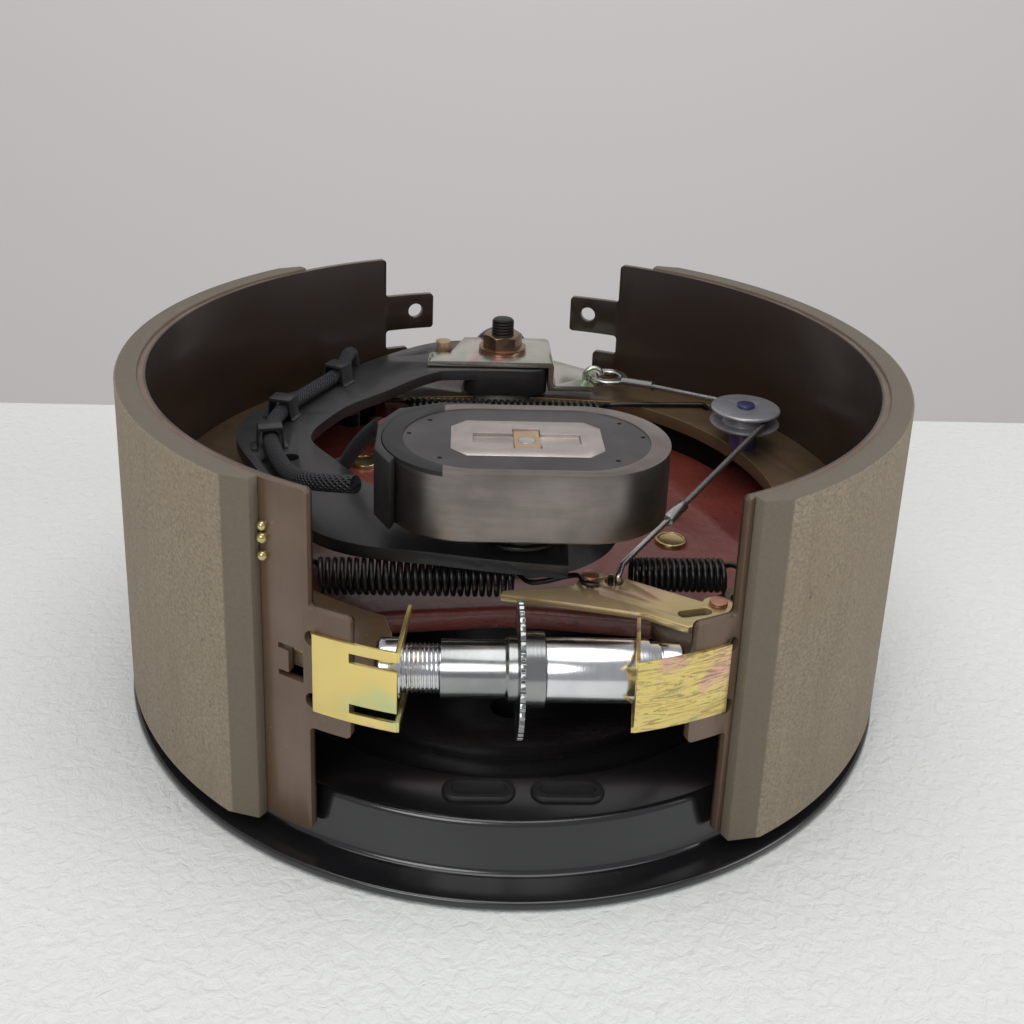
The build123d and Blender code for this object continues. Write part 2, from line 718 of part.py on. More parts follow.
# Harness: a lead up from the shield, a sleeve along the arm, a branch and a bare lead
sleeve_route = [
    (sleeve_x, sleeve_y, junction_level + 0.1), (sleeve_x, sleeve_y, 95),
    (-76, 92, 96.8), (-77, 76, 94.6), (-88, 54, 94.4), (-98, 31, 94.6), (-101, 9, 94.4),
    (-95, -16, 94.8), (-85, -44, 98.5), (-74, -64, 105.5), (-57.6, -74, 110),
]
sleeve_bends = [3.4, 7, 14, 30, 30, 20, 25, 20, 18]
branch_route = [(-95, 3, 82), (-69.5, -4.5, 81.9), (-63.5, -14, 96), (-57.5, -26, 108),
                (-51.5, -36.5, 117)]
branch_bends = [8, 12, 14]

with BuildPart() as harness_lead:
    add(rod((sleeve_x, sleeve_y, ridge_high - 6), (sleeve_x, sleeve_y, junction_level),
            harness_radius))

with BuildPart() as harness_sleeve:
    add(wire(sleeve_route, sleeve_bends, harness_radius))

with BuildPart() as harness_branch:
    add(wire(branch_route, branch_bends, branch_radius))

with BuildPart() as magnet_lead:
    add(wire([(-51.4, -36.6, 117.2), (-47, -42.6, 122.4), (-40, -44.6, 123.8),
              (-31, -42.2, 124)], [4, 8], lead_radius))

with BuildPart() as harness_grommet:
    with Locations((sleeve_x, sleeve_y, ridge_high)):
        Cylinder(grommet_radius, 3, align=(Align.CENTER, Align.CENTER, Align.MIN))
        Cylinder(grommet_radius - 2.05, 6, align=(Align.CENTER, Align.CENTER, Align.MAX))
        Cylinder(harness_radius + 0.02, 20, mode=Mode.SUBTRACT)


# Adjuster: slotted screw, star-wheel nut and the tube that it turns in, all along X
def turned(points):
    """A round piece on the adjuster's axis from (x, radius) points."""
    with BuildPart() as piece:
        with BuildSketch(Plane.XY.offset(mid_height)):
            with BuildLine():
                Polyline(*[(x, adjuster_y + radius) for x, radius in points], close=True)
            make_face()
        revolve(axis=Axis((0, adjuster_y, mid_height), (1, 0, 0)))
    return piece.part


web_slot_half = web_thickness / 2 + 0.15
with BuildPart() as adjuster_screw:
    add(turned([(button_end, 0), (button_end, button_radius - 1.5), (button_end + 1.5,
                button_radius), (button_face, button_radius), (button_face, thread_root),
                (sleeve_start + 1, thread_root), (sleeve_start + 1, screw_radius),
                (screw_reach, screw_radius), (screw_reach, 0)]))
    add(block((button_end - 1, adjuster_y - 12, mid_height - web_slot_half),
              (button_end + web_slot_depth, adjuster_y + 12, mid_height + web_slot_half)),
        mode=Mode.SUBTRACT)

with BuildPart() as star_wheel_nut:
    add(turned([(sleeve_start, screw_radius + running_gap), (sleeve_start, sleeve_radius),
                (wheel_start - 4, sleeve_radius), (wheel_start - 3, sleeve_radius + 1),
                (wheel_start, sleeve_radius + 1), (wheel_start, wheel_radius),
                (wheel_end, wheel_radius), (wheel_end, collar_radius),
                (collar_end, collar_radius), (collar_end, spigot_radius),
                (spigot_end, spigot_radius), (spigot_end, 0), (wheel_end + 1, 0),
                (wheel_end + 1, screw_radius + running_gap)]))
    with BuildSketch(Plane.YZ.offset(wheel_start - 1)):
        for tooth in range(wheel_teeth):
            turn = 360 * (tooth + 0.5) / wheel_teeth
            y, z = polar(wheel_radius, turn)
            with Locations(Location((adjuster_y + y, mid_height + z, 0), (0, 0, turn + 45))):
                Rectangle(1.5, 1.5)
    extrude(amount=wheel_end - wheel_start + 2, mode=Mode.SUBTRACT)

with BuildPart() as adjuster_tube:
    start = collar_end + side_clearance
    add(turned([(start, spigot_radius + running_gap), (start, tube_radius),
                (tube_end, tube_radius), (tube_end, tip_radius), (tube_end + 3.2, tip_radius),
                (tube_end + 3.2, tip_radius - 0.6), (tube_end + 4, tip_radius - 0.6),
                (tube_end + 4, tip_radius), (tip_end - 1, tip_radius), (tip_end,
                tip_radius - 1), (tip_end, 0), (spigot_end + 1, 0),
                (spigot_end + 1, spigot_radius + running_gap)]))
    add(block((tip_end - web_slot_depth, adjuster_y - 12, mid_height - web_slot_half),
              (tip_end + 1, adjuster_y + 12, mid_height + web_slot_half)), mode=Mode.SUBTRACT)


def shoe_clip(start, end, half_height, prong_x, prong_y):
    """A spring clip, right-hand: a plate on the table's tab with two prongs bent back."""
    skin = table_radius + skin_gap
    with BuildPart() as clip:
        with BuildSketch(Plane.XY.offset(mid_height - half_height)):
            add(ring_sector(skin, skin + 1.3, start, end))
        extrude(amount=2 * half_height)
        corner = polar(skin + 0.65, start)
        for low in (mid_height + prong_low, mid_height - half_height):
            with BuildSketch(Plane.XY.offset(low)):
                with BuildLine():
                    Polyline((corner[0] - 0.6, corner[1] - 0.6), (corner[0] + 0.9, corner[1]),
                             (prong_x + 1.3, prong_y), (prong_x, prong_y), close=True)
                make_face()
            extrude(amount=half_height - prong_low)
    return clip.part


with BuildPart() as secondary_clip:
    add(shoe_clip(-76.3, -63.2, 12.6, 38.2, ear_y - 22.4))

with BuildPart() as primary_clip:
    mirror(shoe_clip(-74.6, -63.2, 14.3, 35.9, adjuster_y + 14.6), about=Plane.YZ)
    for low in (mid_height + prong_low - 3.4, mid_height - prong_low):
        add(block((clip_slot_x, adjuster_y - 21, low), (button_face + 4, adjuster_y, low + 3.4)),
            mode=Mode.SUBTRACT)

# Self-adjust lever and the pins on it
with BuildPart() as adjust_lever:
    with BuildSketch(Plane.XY.offset(lever_low)):
        with BuildLine():
            Polyline((pivot_x - 72.3, pivot_y + 6.9), (pivot_x - 73.0, pivot_y + 4.4),
                     (pivot_x - 51.0, pivot_y), (pivot_x - 25.0, pivot_y - 6.3),
                     (pivot_x - 12.4, pivot_y - 14.3), (pivot_x + 1.4, pivot_y - 7),
                     (pivot_x, pivot_y), (pivot_x - 5.0, pivot_y + 1.8), (ear_x + 4, ear_y + 2.2),
                     (ear_x, ear_y + 5.2), (ear_x - 9.9, ear_y + 4.5),
                     (ear_x - 14.2, ear_y - 3.3), close=True)
        make_face()
        with Locations((pivot_x, pivot_y)):
            Circle(5.4)
    extrude(amount=lever_thickness)
    with BuildSketch(Plane.XY.offset(lever_low)):
        with Locations((ear_x, ear_y)):
            Circle(ear_hole_radius)
        with Locations((spring_pin_x, spring_pin_y)):
            Circle(1.5)
        with Locations((pivot_x, pivot_y)):
            Circle(pivot_radius + running_gap)
        with Locations(Location((pivot_x - 8.8, pivot_y - 5.1, 0), (0, 0, 14))):
            SlotOverall(12, 4.2)
    extrude(amount=lever_thickness, mode=Mode.SUBTRACT)

with BuildPart() as lever_pivot:
    with Locations((pivot_x, pivot_y, web_low)):
        Cylinder(pivot_radius, lever_high + 0.3 - web_low,
                 align=(Align.CENTER, Align.CENTER, Align.MIN))
    with Locations((pivot_x, pivot_y, web_high)):
        Cylinder(5, lever_low - 0.2 - web_high, align=(Align.CENTER, Align.CENTER, Align.MIN))
    with Locations((pivot_x, pivot_y, lever_high + 0.2)):
        Cylinder(3.1, 1.4, align=(Align.CENTER, Align.CENTER, Align.MIN))

with BuildPart() as lever_spring_pin:
    with Locations((spring_pin_x, spring_pin_y, lever_low)):
        Cylinder(1.45, lever_thickness + 3, align=(Align.CENTER, Align.CENTER, Align.MIN))
    with Locations((spring_pin_x, spring_pin_y, lever_high + 3)):
        Cylinder(2.9, 1.2, align=(Align.CENTER, Align.CENTER, Align.MIN))

# Cable guide on its post, and the cable from the anchor plate to the lever
with BuildPart() as guide_post:
    with Locations((guide_x, guide_y, web_low)):
        Cylinder(pivot_radius, 8, align=(Align.CENTER, Align.CENTER, Align.MIN))
    with Locations((guide_x, guide_y, web_high)):
        Cylinder(guide_post_radius, guide_low - 0.3 - web_high,
                 align=(Align.CENTER, Align.CENTER, Align.MIN))
        Cylinder(guide_pin_radius, guide_high + 0.5 - web_high,
                 align=(Align.CENTER, Align.CENTER, Align.MIN))
    with Locations((guide_x, guide_y, guide_high + 0.3)):
        Cylinder(4.0, 1.1, align=(Align.CENTER, Align.CENTER, Align.MIN))

with BuildPart() as cable_guide:
    with BuildSketch(Plane.XZ.offset(-guide_y)):
        with BuildLine():
            inner = guide_x + guide_pin_radius + running_gap
            outer = guide_x + guide_radius
            waist = guide_x + guide_hub_radius
            Polyline((inner, guide_low), (outer - 0.6, guide_low), (outer, guide_low + 0.6),
                     (outer, guide_low + guide_flange), (waist, guide_low + guide_flange),
                     (waist, guide_high - guide_flange), (outer, guide_high - guide_flange),
                     (outer, guide_high - 0.6), (outer - 0.6, guide_high), (inner, guide_high),
                     close=True)
        make_face()
    revolve(axis=Axis((guide_x, guide_y, 0), (0, 0, 1)))


def tangent_heading(point):
    """The plan direction from a point to the outer side of the guide's groove."""
    dx = guide_x - point[0]
    dy = guide_y - point[1]
    return dx, dy, math.asin(cable_bend / math.hypot(dx, dy)), math.atan2(dy, dx)


dx, dy, lean, heading = tangent_heading((eye_x, eye_y))
eye_heading = heading + lean
dx, dy, lean, heading = tangent_heading((ear_x, ear_y))
ear_heading = heading - lean
half_turn = (ear_heading - eye_heading - math.pi) / 2
corner_reach = cable_bend / math.cos(half_turn)
outward = (eye_heading + ear_heading) / 2
corner = (guide_x + corner_reach * math.cos(outward), guide_y + corner_reach * math.sin(outward))


def towards(start, heading, distance, height):
    """A point at a distance from a start, along a heading in plan."""
    return (start[0] + distance * math.cos(heading), start[1] + distance * math.sin(heading),
            height)


ferrule_start = towards((eye_x, eye_y), eye_heading, eye_outer - 0.6, eye_level)
ferrule_end = towards((eye_x, eye_y), eye_heading, 26, eye_level + 2.2)
cable_start = towards((eye_x, eye_y), eye_heading, 22, eye_level + 1.75)
hook_start = towards((ear_x, ear_y), ear_heading, 60, cable_level - 1.0)
hook_end = towards((ear_x, ear_y), ear_heading, 45, cable_level - 1.3)
cable_end = towards((ear_x, ear_y), ear_heading, 56, cable_level - 1.1)

with BuildPart() as cable_eye:
    with BuildSketch(Plane.XY.offset(eye_level - eye_half)):
        with Locations((eye_x, eye_y)):
            Circle(eye_outer)
            Circle(eye_inner, mode=Mode.SUBTRACT)
    extrude(amount=2 * eye_half)
    fillet(cable_eye.edges(), radius=0.9)
    add(rod(ferrule_start, ferrule_end, ferrule_radius))
    add(rod(towards(cable_start, eye_heading, -0.3, cable_start[2]),
            towards(ferrule_end, eye_heading, 2, ferrule_end[2] + 0.1), cable_radius + 0.12),
        mode=Mode.SUBTRACT)

with BuildPart() as adjuster_cable:
    add(wire([cable_start, (*corner, cable_level + 0.9), cable_end], cable_bend, cable_radius))

with BuildPart() as cable_ferrule:
    add(rod(hook_start, hook_end, ferrule_radius))
    add(rod(towards(hook_start, ear_heading, 1, hook_start[2]),
            towards(cable_end, ear_heading, -0.3, cable_end[2]), cable_radius + 0.12),
        mode=Mode.SUBTRACT)

hook_x = ear_x + 1.4
hook_y = ear_y - 0.4
with BuildPart() as cable_hook:
    add(wire([towards(hook_end, ear_heading, -0.15, hook_end[2]),
              towards((ear_x, ear_y), ear_heading, 6.0, cable_level - 1.5),
              (hook_x, hook_y, lever_high + 2.2), (hook_x, hook_y, lever_low - 1.2)],
             [2.4, 1.2], 1.1))


# Springs: each coil is a ribbed tube here, with a bent wire at both ends
def coil_spring(start, length, coil_radius, wire_radius, pitch, left_end, right_end):
    """A coil along X with a bent wire at each end, all one piece."""
    ribs = round(length / (2 * pitch))
    step = length / ribs
    outline = [(start[0], start[1] + coil_radius - 2 * wire_radius)]
    for rib in range(ribs):
        outline.append((start[0] + rib * step, start[1] + coil_radius - 0.5 * wire_radius))
        outline.append((start[0] + (rib + 0.5) * step, start[1] + coil_radius))
    outline.append((start[0] + length, start[1] + coil_radius - 0.5 * wire_radius))
    outline.append((start[0] + length, start[1] + coil_radius - 2 * wire_radius))
    with BuildPart() as spring:
        with BuildSketch(Plane.XY.offset(start[2])):
            with BuildLine():
                Polyline(*outline, close=True)
            make_face()
        revolve(axis=Axis(start, (1, 0, 0)))
        for points in (left_end, right_end):
            add(wire(points, 1.3 * wire_radius, wire_radius))
    return spring.part


return_spring_level = mid_height - 0.5
return_spring_y = upper_hole_y - 2
wire_level = web_high + 1.5
with BuildPart() as shoe_return_spring:
    add(coil_spring((-44, return_spring_y, return_spring_level), 92, 6.2, 1.25, 3.1,
                    [(-42, return_spring_y, wire_level),
                     (-upper_hole_x, upper_hole_y, wire_level),
                     (-upper_hole_x, upper_hole_y, web_low - 2)],
                    [(46, return_spring_y, wire_level), (upper_hole_x, upper_hole_y, wire_level),
                     (upper_hole_x, upper_hole_y, web_low - 2)]))

adjuster_coil = 6.7
adjuster_coil_y = lower_hole_y + 5.5
adjuster_coil_start = -70.0
adjuster_coil_end = -1.0
adjuster_spring_level = arm_low - 0.5 - adjuster_coil
post_side = spring_pin_x - 2.9
with BuildPart() as adjuster_spring:
    add(coil_spring((adjuster_coil_start, adjuster_coil_y, adjuster_spring_level),
                    adjuster_coil_end - adjuster_coil_start, adjuster_coil, 0.95, 2.5,
                    [(adjuster_coil_start + 2, adjuster_coil_y, adjuster_spring_level + 5.6),
                     (-lower_hole_x, lower_hole_y, adjuster_spring_level + 5.6),
                     (-lower_hole_x, lower_hole_y, web_low - 2)],
                    [(adjuster_coil_end - 3, adjuster_coil_y - 5.7, adjuster_spring_level),
                     (adjuster_coil_end + 7, lower_hole_y + 1, adjuster_spring_level + 2),
                     (post_side - 3.6, lower_hole_y - 0.2, lever_high - 1.6),
                     (post_side, spring_pin_y + 4, lever_high + 1.3),
                     (spring_pin_x - 2.7, spring_pin_y - 2.8, lever_high + 1.3),
                     (spring_pin_x + 2.7, spring_pin_y - 2.6, lever_high + 1.3)]))

lever_coil = 6.2
lever_coil_start = ear_x + 8.5
lever_coil_end = lower_hole_x - 5
lever_coil_y = lower_hole_y + 6
lever_spring_level = web_high + lever_coil - 0.6
hook_side = ear_x - 1.2
with BuildPart() as lever_return_spring:
    add(coil_spring((lever_coil_start, lever_coil_y, lever_spring_level),
                    lever_coil_end - lever_coil_start, lever_coil, 0.95, 2.3,
                    [(lever_coil_start + 3, lever_coil_y - 5.1, lever_spring_level),
                     (ear_x + 4.5, ear_y + 6.4, lever_spring_level - 0.6),
                     (hook_side, ear_y + 0.4, lever_spring_level - 0.9),
                     (hook_side, ear_y + 0.4, lever_high + 1.6)],
                    [(lever_coil_end - 3, lever_coil_y, lever_spring_level + 5.1),
                     (lower_hole_x, lower_hole_y, lever_spring_level + 5.1),
                     (lower_hole_x, lower_hole_y, web_low - 2)]))

pieces = {
    "primary_table": primary_table, "secondary_table": secondary_table,
    "primary_lining": primary_lining, "secondary_lining": secondary_lining,
    "primary_web": primary_web, "secondary_web": secondary_web,
    "dust_shield": dust_shield, "slot_plugs": slot_plugs, "shield_rivets": shield_rivets,
    "spider": spider, "casting_caps": casting_caps, "anchor_post": anchor_post,
    "anchor_nut": anchor_nut, "anchor_bracket": anchor_bracket, "stop_pin": stop_pin,
    "magnet_arm": magnet_arm, "magnet_case": magnet_case, "magnet_face": magnet_face,
    "pole_plate": pole_plate, "magnet_post": magnet_post, "magnet_clip": magnet_clip,
    "magnet_spring": magnet_spring, "wire_boot": wire_boot, "harness_lead": harness_lead,
    "harness_sleeve": harness_sleeve, "harness_branch": harness_branch,
    "magnet_lead": magnet_lead, "harness_grommet": harness_grommet,
    "adjuster_screw": adjuster_screw, "star_wheel_nut": star_wheel_nut,
    "adjuster_tube": adjuster_tube, "primary_clip": primary_clip,
    "secondary_clip": secondary_clip, "adjust_lever": adjust_lever,
    "lever_pivot": lever_pivot, "lever_spring_pin": lever_spring_pin,
    "guide_post": guide_post, "cable_guide": cable_guide, "cable_eye": cable_eye,
    "adjuster_cable": adjuster_cable, "cable_ferrule": cable_ferrule,
    "cable_hook": cable_hook, "shoe_return_spring": shoe_return_spring,
    "adjuster_spring": adjuster_spring, "lever_return_spring": lever_return_spring,
}

os.makedirs("parts", exist_ok=True)
print("harness sleeve radii", sleeve_bends)
print("harness branch radii", branch_bends)
print("cable radius round the guide", cable_bend)
for name, piece in pieces.items():
    piece.part.label = name
    export_step(piece.part, f"parts/{name}.step")
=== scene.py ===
"""Finishes an electric trailer brake assembly: its paints, platings, linings, coils and harness."""

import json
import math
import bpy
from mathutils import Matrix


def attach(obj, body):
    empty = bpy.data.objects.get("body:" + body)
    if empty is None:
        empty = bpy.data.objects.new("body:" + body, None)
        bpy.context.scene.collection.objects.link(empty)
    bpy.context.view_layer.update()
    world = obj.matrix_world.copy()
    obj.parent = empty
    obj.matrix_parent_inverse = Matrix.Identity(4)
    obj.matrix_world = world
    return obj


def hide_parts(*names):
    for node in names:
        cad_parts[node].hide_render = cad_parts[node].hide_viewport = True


bl_info = {
    "name": "Trailer brake finish",
    "version": (1, 0, 0),
    "blender": (4, 5, 0),
    "location": "View3D > Sidebar > Trailer brake",
    "description": "Lays paint, plating, linings, coils and harness over a packed trailer brake",
    "category": "Object",
}

import bpy
from bpy.props import FloatProperty, FloatVectorProperty, IntProperty, PointerProperty
from mathutils import Matrix, Vector

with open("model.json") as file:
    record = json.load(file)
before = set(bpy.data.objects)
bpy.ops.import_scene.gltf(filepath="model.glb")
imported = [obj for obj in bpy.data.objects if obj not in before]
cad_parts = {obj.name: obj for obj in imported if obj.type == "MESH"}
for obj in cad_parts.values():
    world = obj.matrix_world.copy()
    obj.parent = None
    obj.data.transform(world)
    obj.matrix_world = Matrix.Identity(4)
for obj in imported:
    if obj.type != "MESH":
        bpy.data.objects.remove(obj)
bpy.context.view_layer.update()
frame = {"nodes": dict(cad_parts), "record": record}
MM = 0.001
BEVEL_REACH = (0.15455, 0.15425)
# Reach inside which the shoes' inner faces get painted shade
TABLE_SHADE_REACH = (0.1447, 0.1441)
# Heights under which the casting gets painted shade from the plate's overhang
PLATE_SHADE_HEIGHTS = (0.0515, 0.0492)
RUBBER_END = (-0.0265, -0.0270)
RUBBER_HEIGHT = (0.1282, 0.1284)
STUD_SHOULDER = (0.0930, 0.0932)
STUD_PITCH = 0.0015
PANEL = "Trailer brake"


# Sizes and colours that a user would change


class BrakeSizes(bpy.types.PropertyGroup):
    """Sizes of the finish, in metres."""

    edge_round: FloatProperty(
        name="Edge round", description="Rounding of cut and cast edges",
        default=0.0004, unit="LENGTH")
    cast_round: FloatProperty(
        name="Cast round", description="Rounding of the casting's edges",
        default=0.0012, unit="LENGTH")
    braid_pitch: FloatProperty(
        name="Braid pitch", description="Length of one crossing of the braided sleeve",
        default=0.00186, unit="LENGTH")
    coil_sides: IntProperty(
        name="Coil sides", description="Sides of a coil's wire", default=10, min=6, max=24)


class BrakeColours(bpy.types.PropertyGroup):
    """Colours of the finish."""

    lining: FloatVectorProperty(
        name="Lining", description="Colour of the friction linings", subtype="COLOR",
        default=(0.292, 0.240, 0.172), min=0, max=1)
    lacquer: FloatVectorProperty(
        name="Shoe lacquer", description="Colour of the shoes' brown lacquer",
        subtype="COLOR", default=(0.158, 0.098, 0.062), min=0, max=1)
    casting: FloatVectorProperty(
        name="Casting", description="Colour of the cast spider's paint", subtype="COLOR",
        default=(0.175, 0.034, 0.025), min=0, max=1)
    floor: FloatVectorProperty(
        name="Floor", description="Colour of the floor", subtype="COLOR",
        default=(0.80, 0.81, 0.79), min=0, max=1)


def sizes():
    return bpy.context.scene.brake_sizes


def colours():
    return bpy.context.scene.brake_colours


# Node helpers


def link(tree, start, end):
    tree.links.new(start, end)


def new_group(name, inputs, outputs):
    """A shader node group with named sockets; returns it with its two ends."""
    tree = bpy.data.node_groups.new(name, "ShaderNodeTree")
    for label, kind, value in inputs:
        socket = tree.interface.new_socket(name=label, in_out="INPUT", socket_type=kind)
        socket.default_value = value
    for label, kind in outputs:
        tree.interface.new_socket(name=label, in_out="OUTPUT", socket_type=kind)
    return tree, tree.nodes.new("NodeGroupInput"), tree.nodes.new("NodeGroupOutput")


def noise(tree, coordinates, scale, detail=4.0, rough=0.6, distortion=0.0):
    node = tree.nodes.new("ShaderNodeTexNoise")
    node.inputs["Detail"].default_value = detail
    node.inputs["Roughness"].default_value = rough
    node.inputs["Distortion"].default_value = distortion
    if isinstance(scale, (int, float)):
        node.inputs["Scale"].default_value = scale
    else:
        link(tree, scale, node.inputs["Scale"])
    link(tree, coordinates, node.inputs["Vector"])
    return node.outputs["Fac"]


def spread(tree, value, low, high):
    """Stretches the middle of a value to run from 0 to 1."""
    node = tree.nodes.new("ShaderNodeMapRange")
    node.inputs["From Min"].default_value = low
    node.inputs["From Max"].default_value = high
    link(tree, value, node.inputs["Value"])
    return node.outputs["Result"]


def blend_colour(tree, factor, first, second):
    node = tree.nodes.new("ShaderNodeMix")
    node.data_type = "RGBA"
    for socket, value in ((node.inputs["Factor"], factor), (node.inputs["A"], first),
                          (node.inputs["B"], second)):
        if isinstance(value, bpy.types.NodeSocket):
            link(tree, value, socket)
        elif isinstance(value, (int, float)):
            socket.default_value = value
        else:
            socket.default_value = (*value, 1.0)
    return node.outputs["Result"]


def sums(tree, operation, first, second):
    node = tree.nodes.new("ShaderNodeMath")
    node.operation = operation
    for socket, value in zip(node.inputs, (first, second)):
        if isinstance(value, bpy.types.NodeSocket):
            link(tree, value, socket)
        elif value is not None:
            socket.default_value = value
    return node.outputs["Value"]


def stretched(tree, coordinates, scale, turn=(0, 0, 0), shift=(0, 0, 0)):
    node = tree.nodes.new("ShaderNodeMapping")
    node.inputs["Scale"].default_value = scale
    node.inputs["Rotation"].default_value = turn
    node.inputs["Location"].default_value = shift
    link(tree, coordinates, node.inputs["Vector"])
    return node.outputs["Vector"]


def axis_of(tree, coordinates, axis):
    """One axis of a coordinate."""
    node = tree.nodes.new("ShaderNodeSeparateXYZ")
    link(tree, coordinates, node.inputs["Vector"])
    return node.outputs["XYZ"[axis]]


def reach(tree, coordinates):
    """Distance from the spindle's axis."""
    node = tree.nodes.new("ShaderNodeVectorMath")
    node.operation = "LENGTH"
    link(tree, stretched(tree, coordinates, (1, 1, 0)), node.inputs[0])
    return node.outputs["Value"]


def along_thread(tree, coordinates, pitch):
    """A wave along Z that repeats once for each pitch."""
    turns = sums(tree, "MULTIPLY", axis_of(tree, coordinates, 2), 2 * math.pi / pitch)
    return sums(tree, "SINE", turns, None)


def faded(tone, share):
    return tuple(share * part for part in tone)


def mottle_group():
    """Uneven tone: broad patches, fine grain and small specks."""
    if "mottle" in bpy.data.node_groups:
        return bpy.data.node_groups["mottle"]
    tree, ins, outs = new_group(
        "mottle",
        [("Tone", "NodeSocketColor", (0.5, 0.5, 0.5, 1)),
         ("Patch tone", "NodeSocketColor", (0.4, 0.4, 0.4, 1)),
         ("Speck tone", "NodeSocketColor", (0.2, 0.2, 0.2, 1)),
         ("Patch scale", "NodeSocketFloat", 20.0), ("Grain scale", "NodeSocketFloat", 400.0)],
        [("Colour", "NodeSocketColor"), ("Patches", "NodeSocketFloat"),
         ("Grain", "NodeSocketFloat")])
    where = tree.nodes.new("ShaderNodeTexCoord").outputs["Object"]
    patches = spread(tree, noise(tree, where, ins.outputs["Patch scale"]), 0.35, 0.68)
    grain = noise(tree, where, ins.outputs["Grain scale"], 6.0, 0.7)
    specks = spread(tree, grain, 0.60, 0.72)
    toned = blend_colour(tree, patches, ins.outputs["Tone"], ins.outputs["Patch tone"])
    toned = blend_colour(tree, specks, toned, ins.outputs["Speck tone"])
    link(tree, toned, outs.inputs["Colour"])
    link(tree, patches, outs.inputs["Patches"])
    link(tree, grain, outs.inputs["Grain"])
    return tree


def material(name):
    """An empty material with its shader."""
    made = bpy.data.materials.new(name)
    made.use_nodes = True
    return made, made.node_tree, made.node_tree.nodes["Principled BSDF"]


def bump(tree, shader, height, strength, distance):
    node = tree.nodes.new("ShaderNodeBump")
    node.inputs["Strength"].default_value = strength
    node.inputs["Distance"].default_value = distance
    link(tree, height, node.inputs["Height"])
    link(tree, node.outputs["Normal"], shader.inputs["Normal"])


def mottled(name, tone, patch, speck, patch_scale, grain_scale, metallic, rough, coat=0.0,
            relief=0.1, depth=0.0002):
    """A finish with uneven tone and sheen."""
    made, tree, shader = material(name)
    group = tree.nodes.new("ShaderNodeGroup")
    group.node_tree = mottle_group()
    for label, value in (("Tone", tone), ("Patch tone", patch), ("Speck tone", speck)):
        group.inputs[label].default_value = (*value, 1)
    group.inputs["Patch scale"].default_value = patch_scale
    group.inputs["Grain scale"].default_value = grain_scale
    link(tree, group.outputs["Colour"], shader.inputs["Base Color"])
    shader.inputs["Metallic"].default_value = metallic
    shader.inputs["Coat Weight"].default_value = coat
    shader.inputs["Coat Roughness"].default_value = 0.15
    ranged = tree.nodes.new("ShaderNodeMapRange")
    ranged.inputs["To Min"].default_value = rough[0]
    ranged.inputs["To Max"].default_value = rough[1]
    link(tree, group.outputs["Patches"], ranged.inputs["Value"])
    link(tree, ranged.outputs["Result"], shader.inputs["Roughness"])
    bump(tree, shader, group.outputs["Grain"], relief, depth)
    return made


def lathe_turned(name, tone, dull, rough, axis):
    """Bright metal with fine tool rings round one axis."""
    made, tree, shader = material(name)
    where = tree.nodes.new("ShaderNodeTexCoord").outputs["Object"]
    along = [6.0, 6.0, 6.0]
    along[axis] = 1600.0
    rings = noise(tree, stretched(tree, where, along), 1.0, 3.0, 0.6)
    patches = spread(tree, noise(tree, where, 60.0, 3.0), 0.35, 0.7)
    link(tree, blend_colour(tree, patches, tone, dull), shader.inputs["Base Color"])
    shader.inputs["Metallic"].default_value = 1.0
    ranged = tree.nodes.new("ShaderNodeMapRange")
    ranged.inputs["To Min"].default_value = rough[0]
    ranged.inputs["To Max"].default_value = rough[1]
    link(tree, rings, ranged.inputs["Value"])
    link(tree, ranged.outputs["Result"], shader.inputs["Roughness"])
    bump(tree, shader, rings, 0.25, 0.0001)
    return made


YELLOW = ((0.30, (0.62, 0.66, 0.32)), (0.45, (0.84, 0.66, 0.24)), (0.56, (0.86, 0.70, 0.26)),
          (0.68, (0.80, 0.48, 0.38)), (0.80, (0.64, 0.62, 0.42)))
PALE = ((0.30, (0.42, 0.50, 0.36)), (0.44, (0.52, 0.52, 0.46)), (0.55, (0.58, 0.56, 0.50)),
        (0.66, (0.54, 0.40, 0.38)), (0.78, (0.36, 0.48, 0.40)))


LEVER = ((0.30, (0.50, 0.46, 0.21)), (0.44, (0.55, 0.42, 0.21)), (0.56, (0.62, 0.47, 0.24)),
         (0.68, (0.57, 0.38, 0.25)), (0.80, (0.45, 0.45, 0.26)))


def chromate(name, scuffed, stops=YELLOW, metallic=0.92):
    """Passivated zinc with pink and green bloom."""
    made, tree, shader = material(name)
    where = tree.nodes.new("ShaderNodeTexCoord").outputs["Object"]
    bloom = noise(tree, where, 45.0, 2.0, 0.5, 0.6)
    ramp = tree.nodes.new("ShaderNodeValToRGB")
    ramp.color_ramp.elements[0].position = stops[0][0]
    ramp.color_ramp.elements[1].position = stops[-1][0]
    for place, _ in stops[1:-1]:
        ramp.color_ramp.elements.new(place)
    for element, (_, tone) in zip(ramp.color_ramp.elements, stops):
        element.color = (*tone, 1)
    link(tree, bloom, ramp.inputs["Fac"])
    toned = ramp.outputs["Color"]
    grain = noise(tree, where, 900.0, 3.0)
    if scuffed:
        streaks = noise(tree, stretched(tree, where, (60, 60, 420), (0.4, 0.7, 0.3)), 1.0, 6.0,
                        0.75, 2.4)
        worn = spread(tree, streaks, 0.50, 0.60)
        toned = blend_colour(tree, sums(tree, "MULTIPLY", worn, 0.75), toned, (0.30, 0.20, 0.10))
        grain = streaks
    link(tree, toned, shader.inputs["Base Color"])
    shader.inputs["Metallic"].default_value = metallic
    shader.inputs["Roughness"].default_value = 0.34 if scuffed else 0.27
    bump(tree, shader, grain, 0.15, 0.0001)
    return made


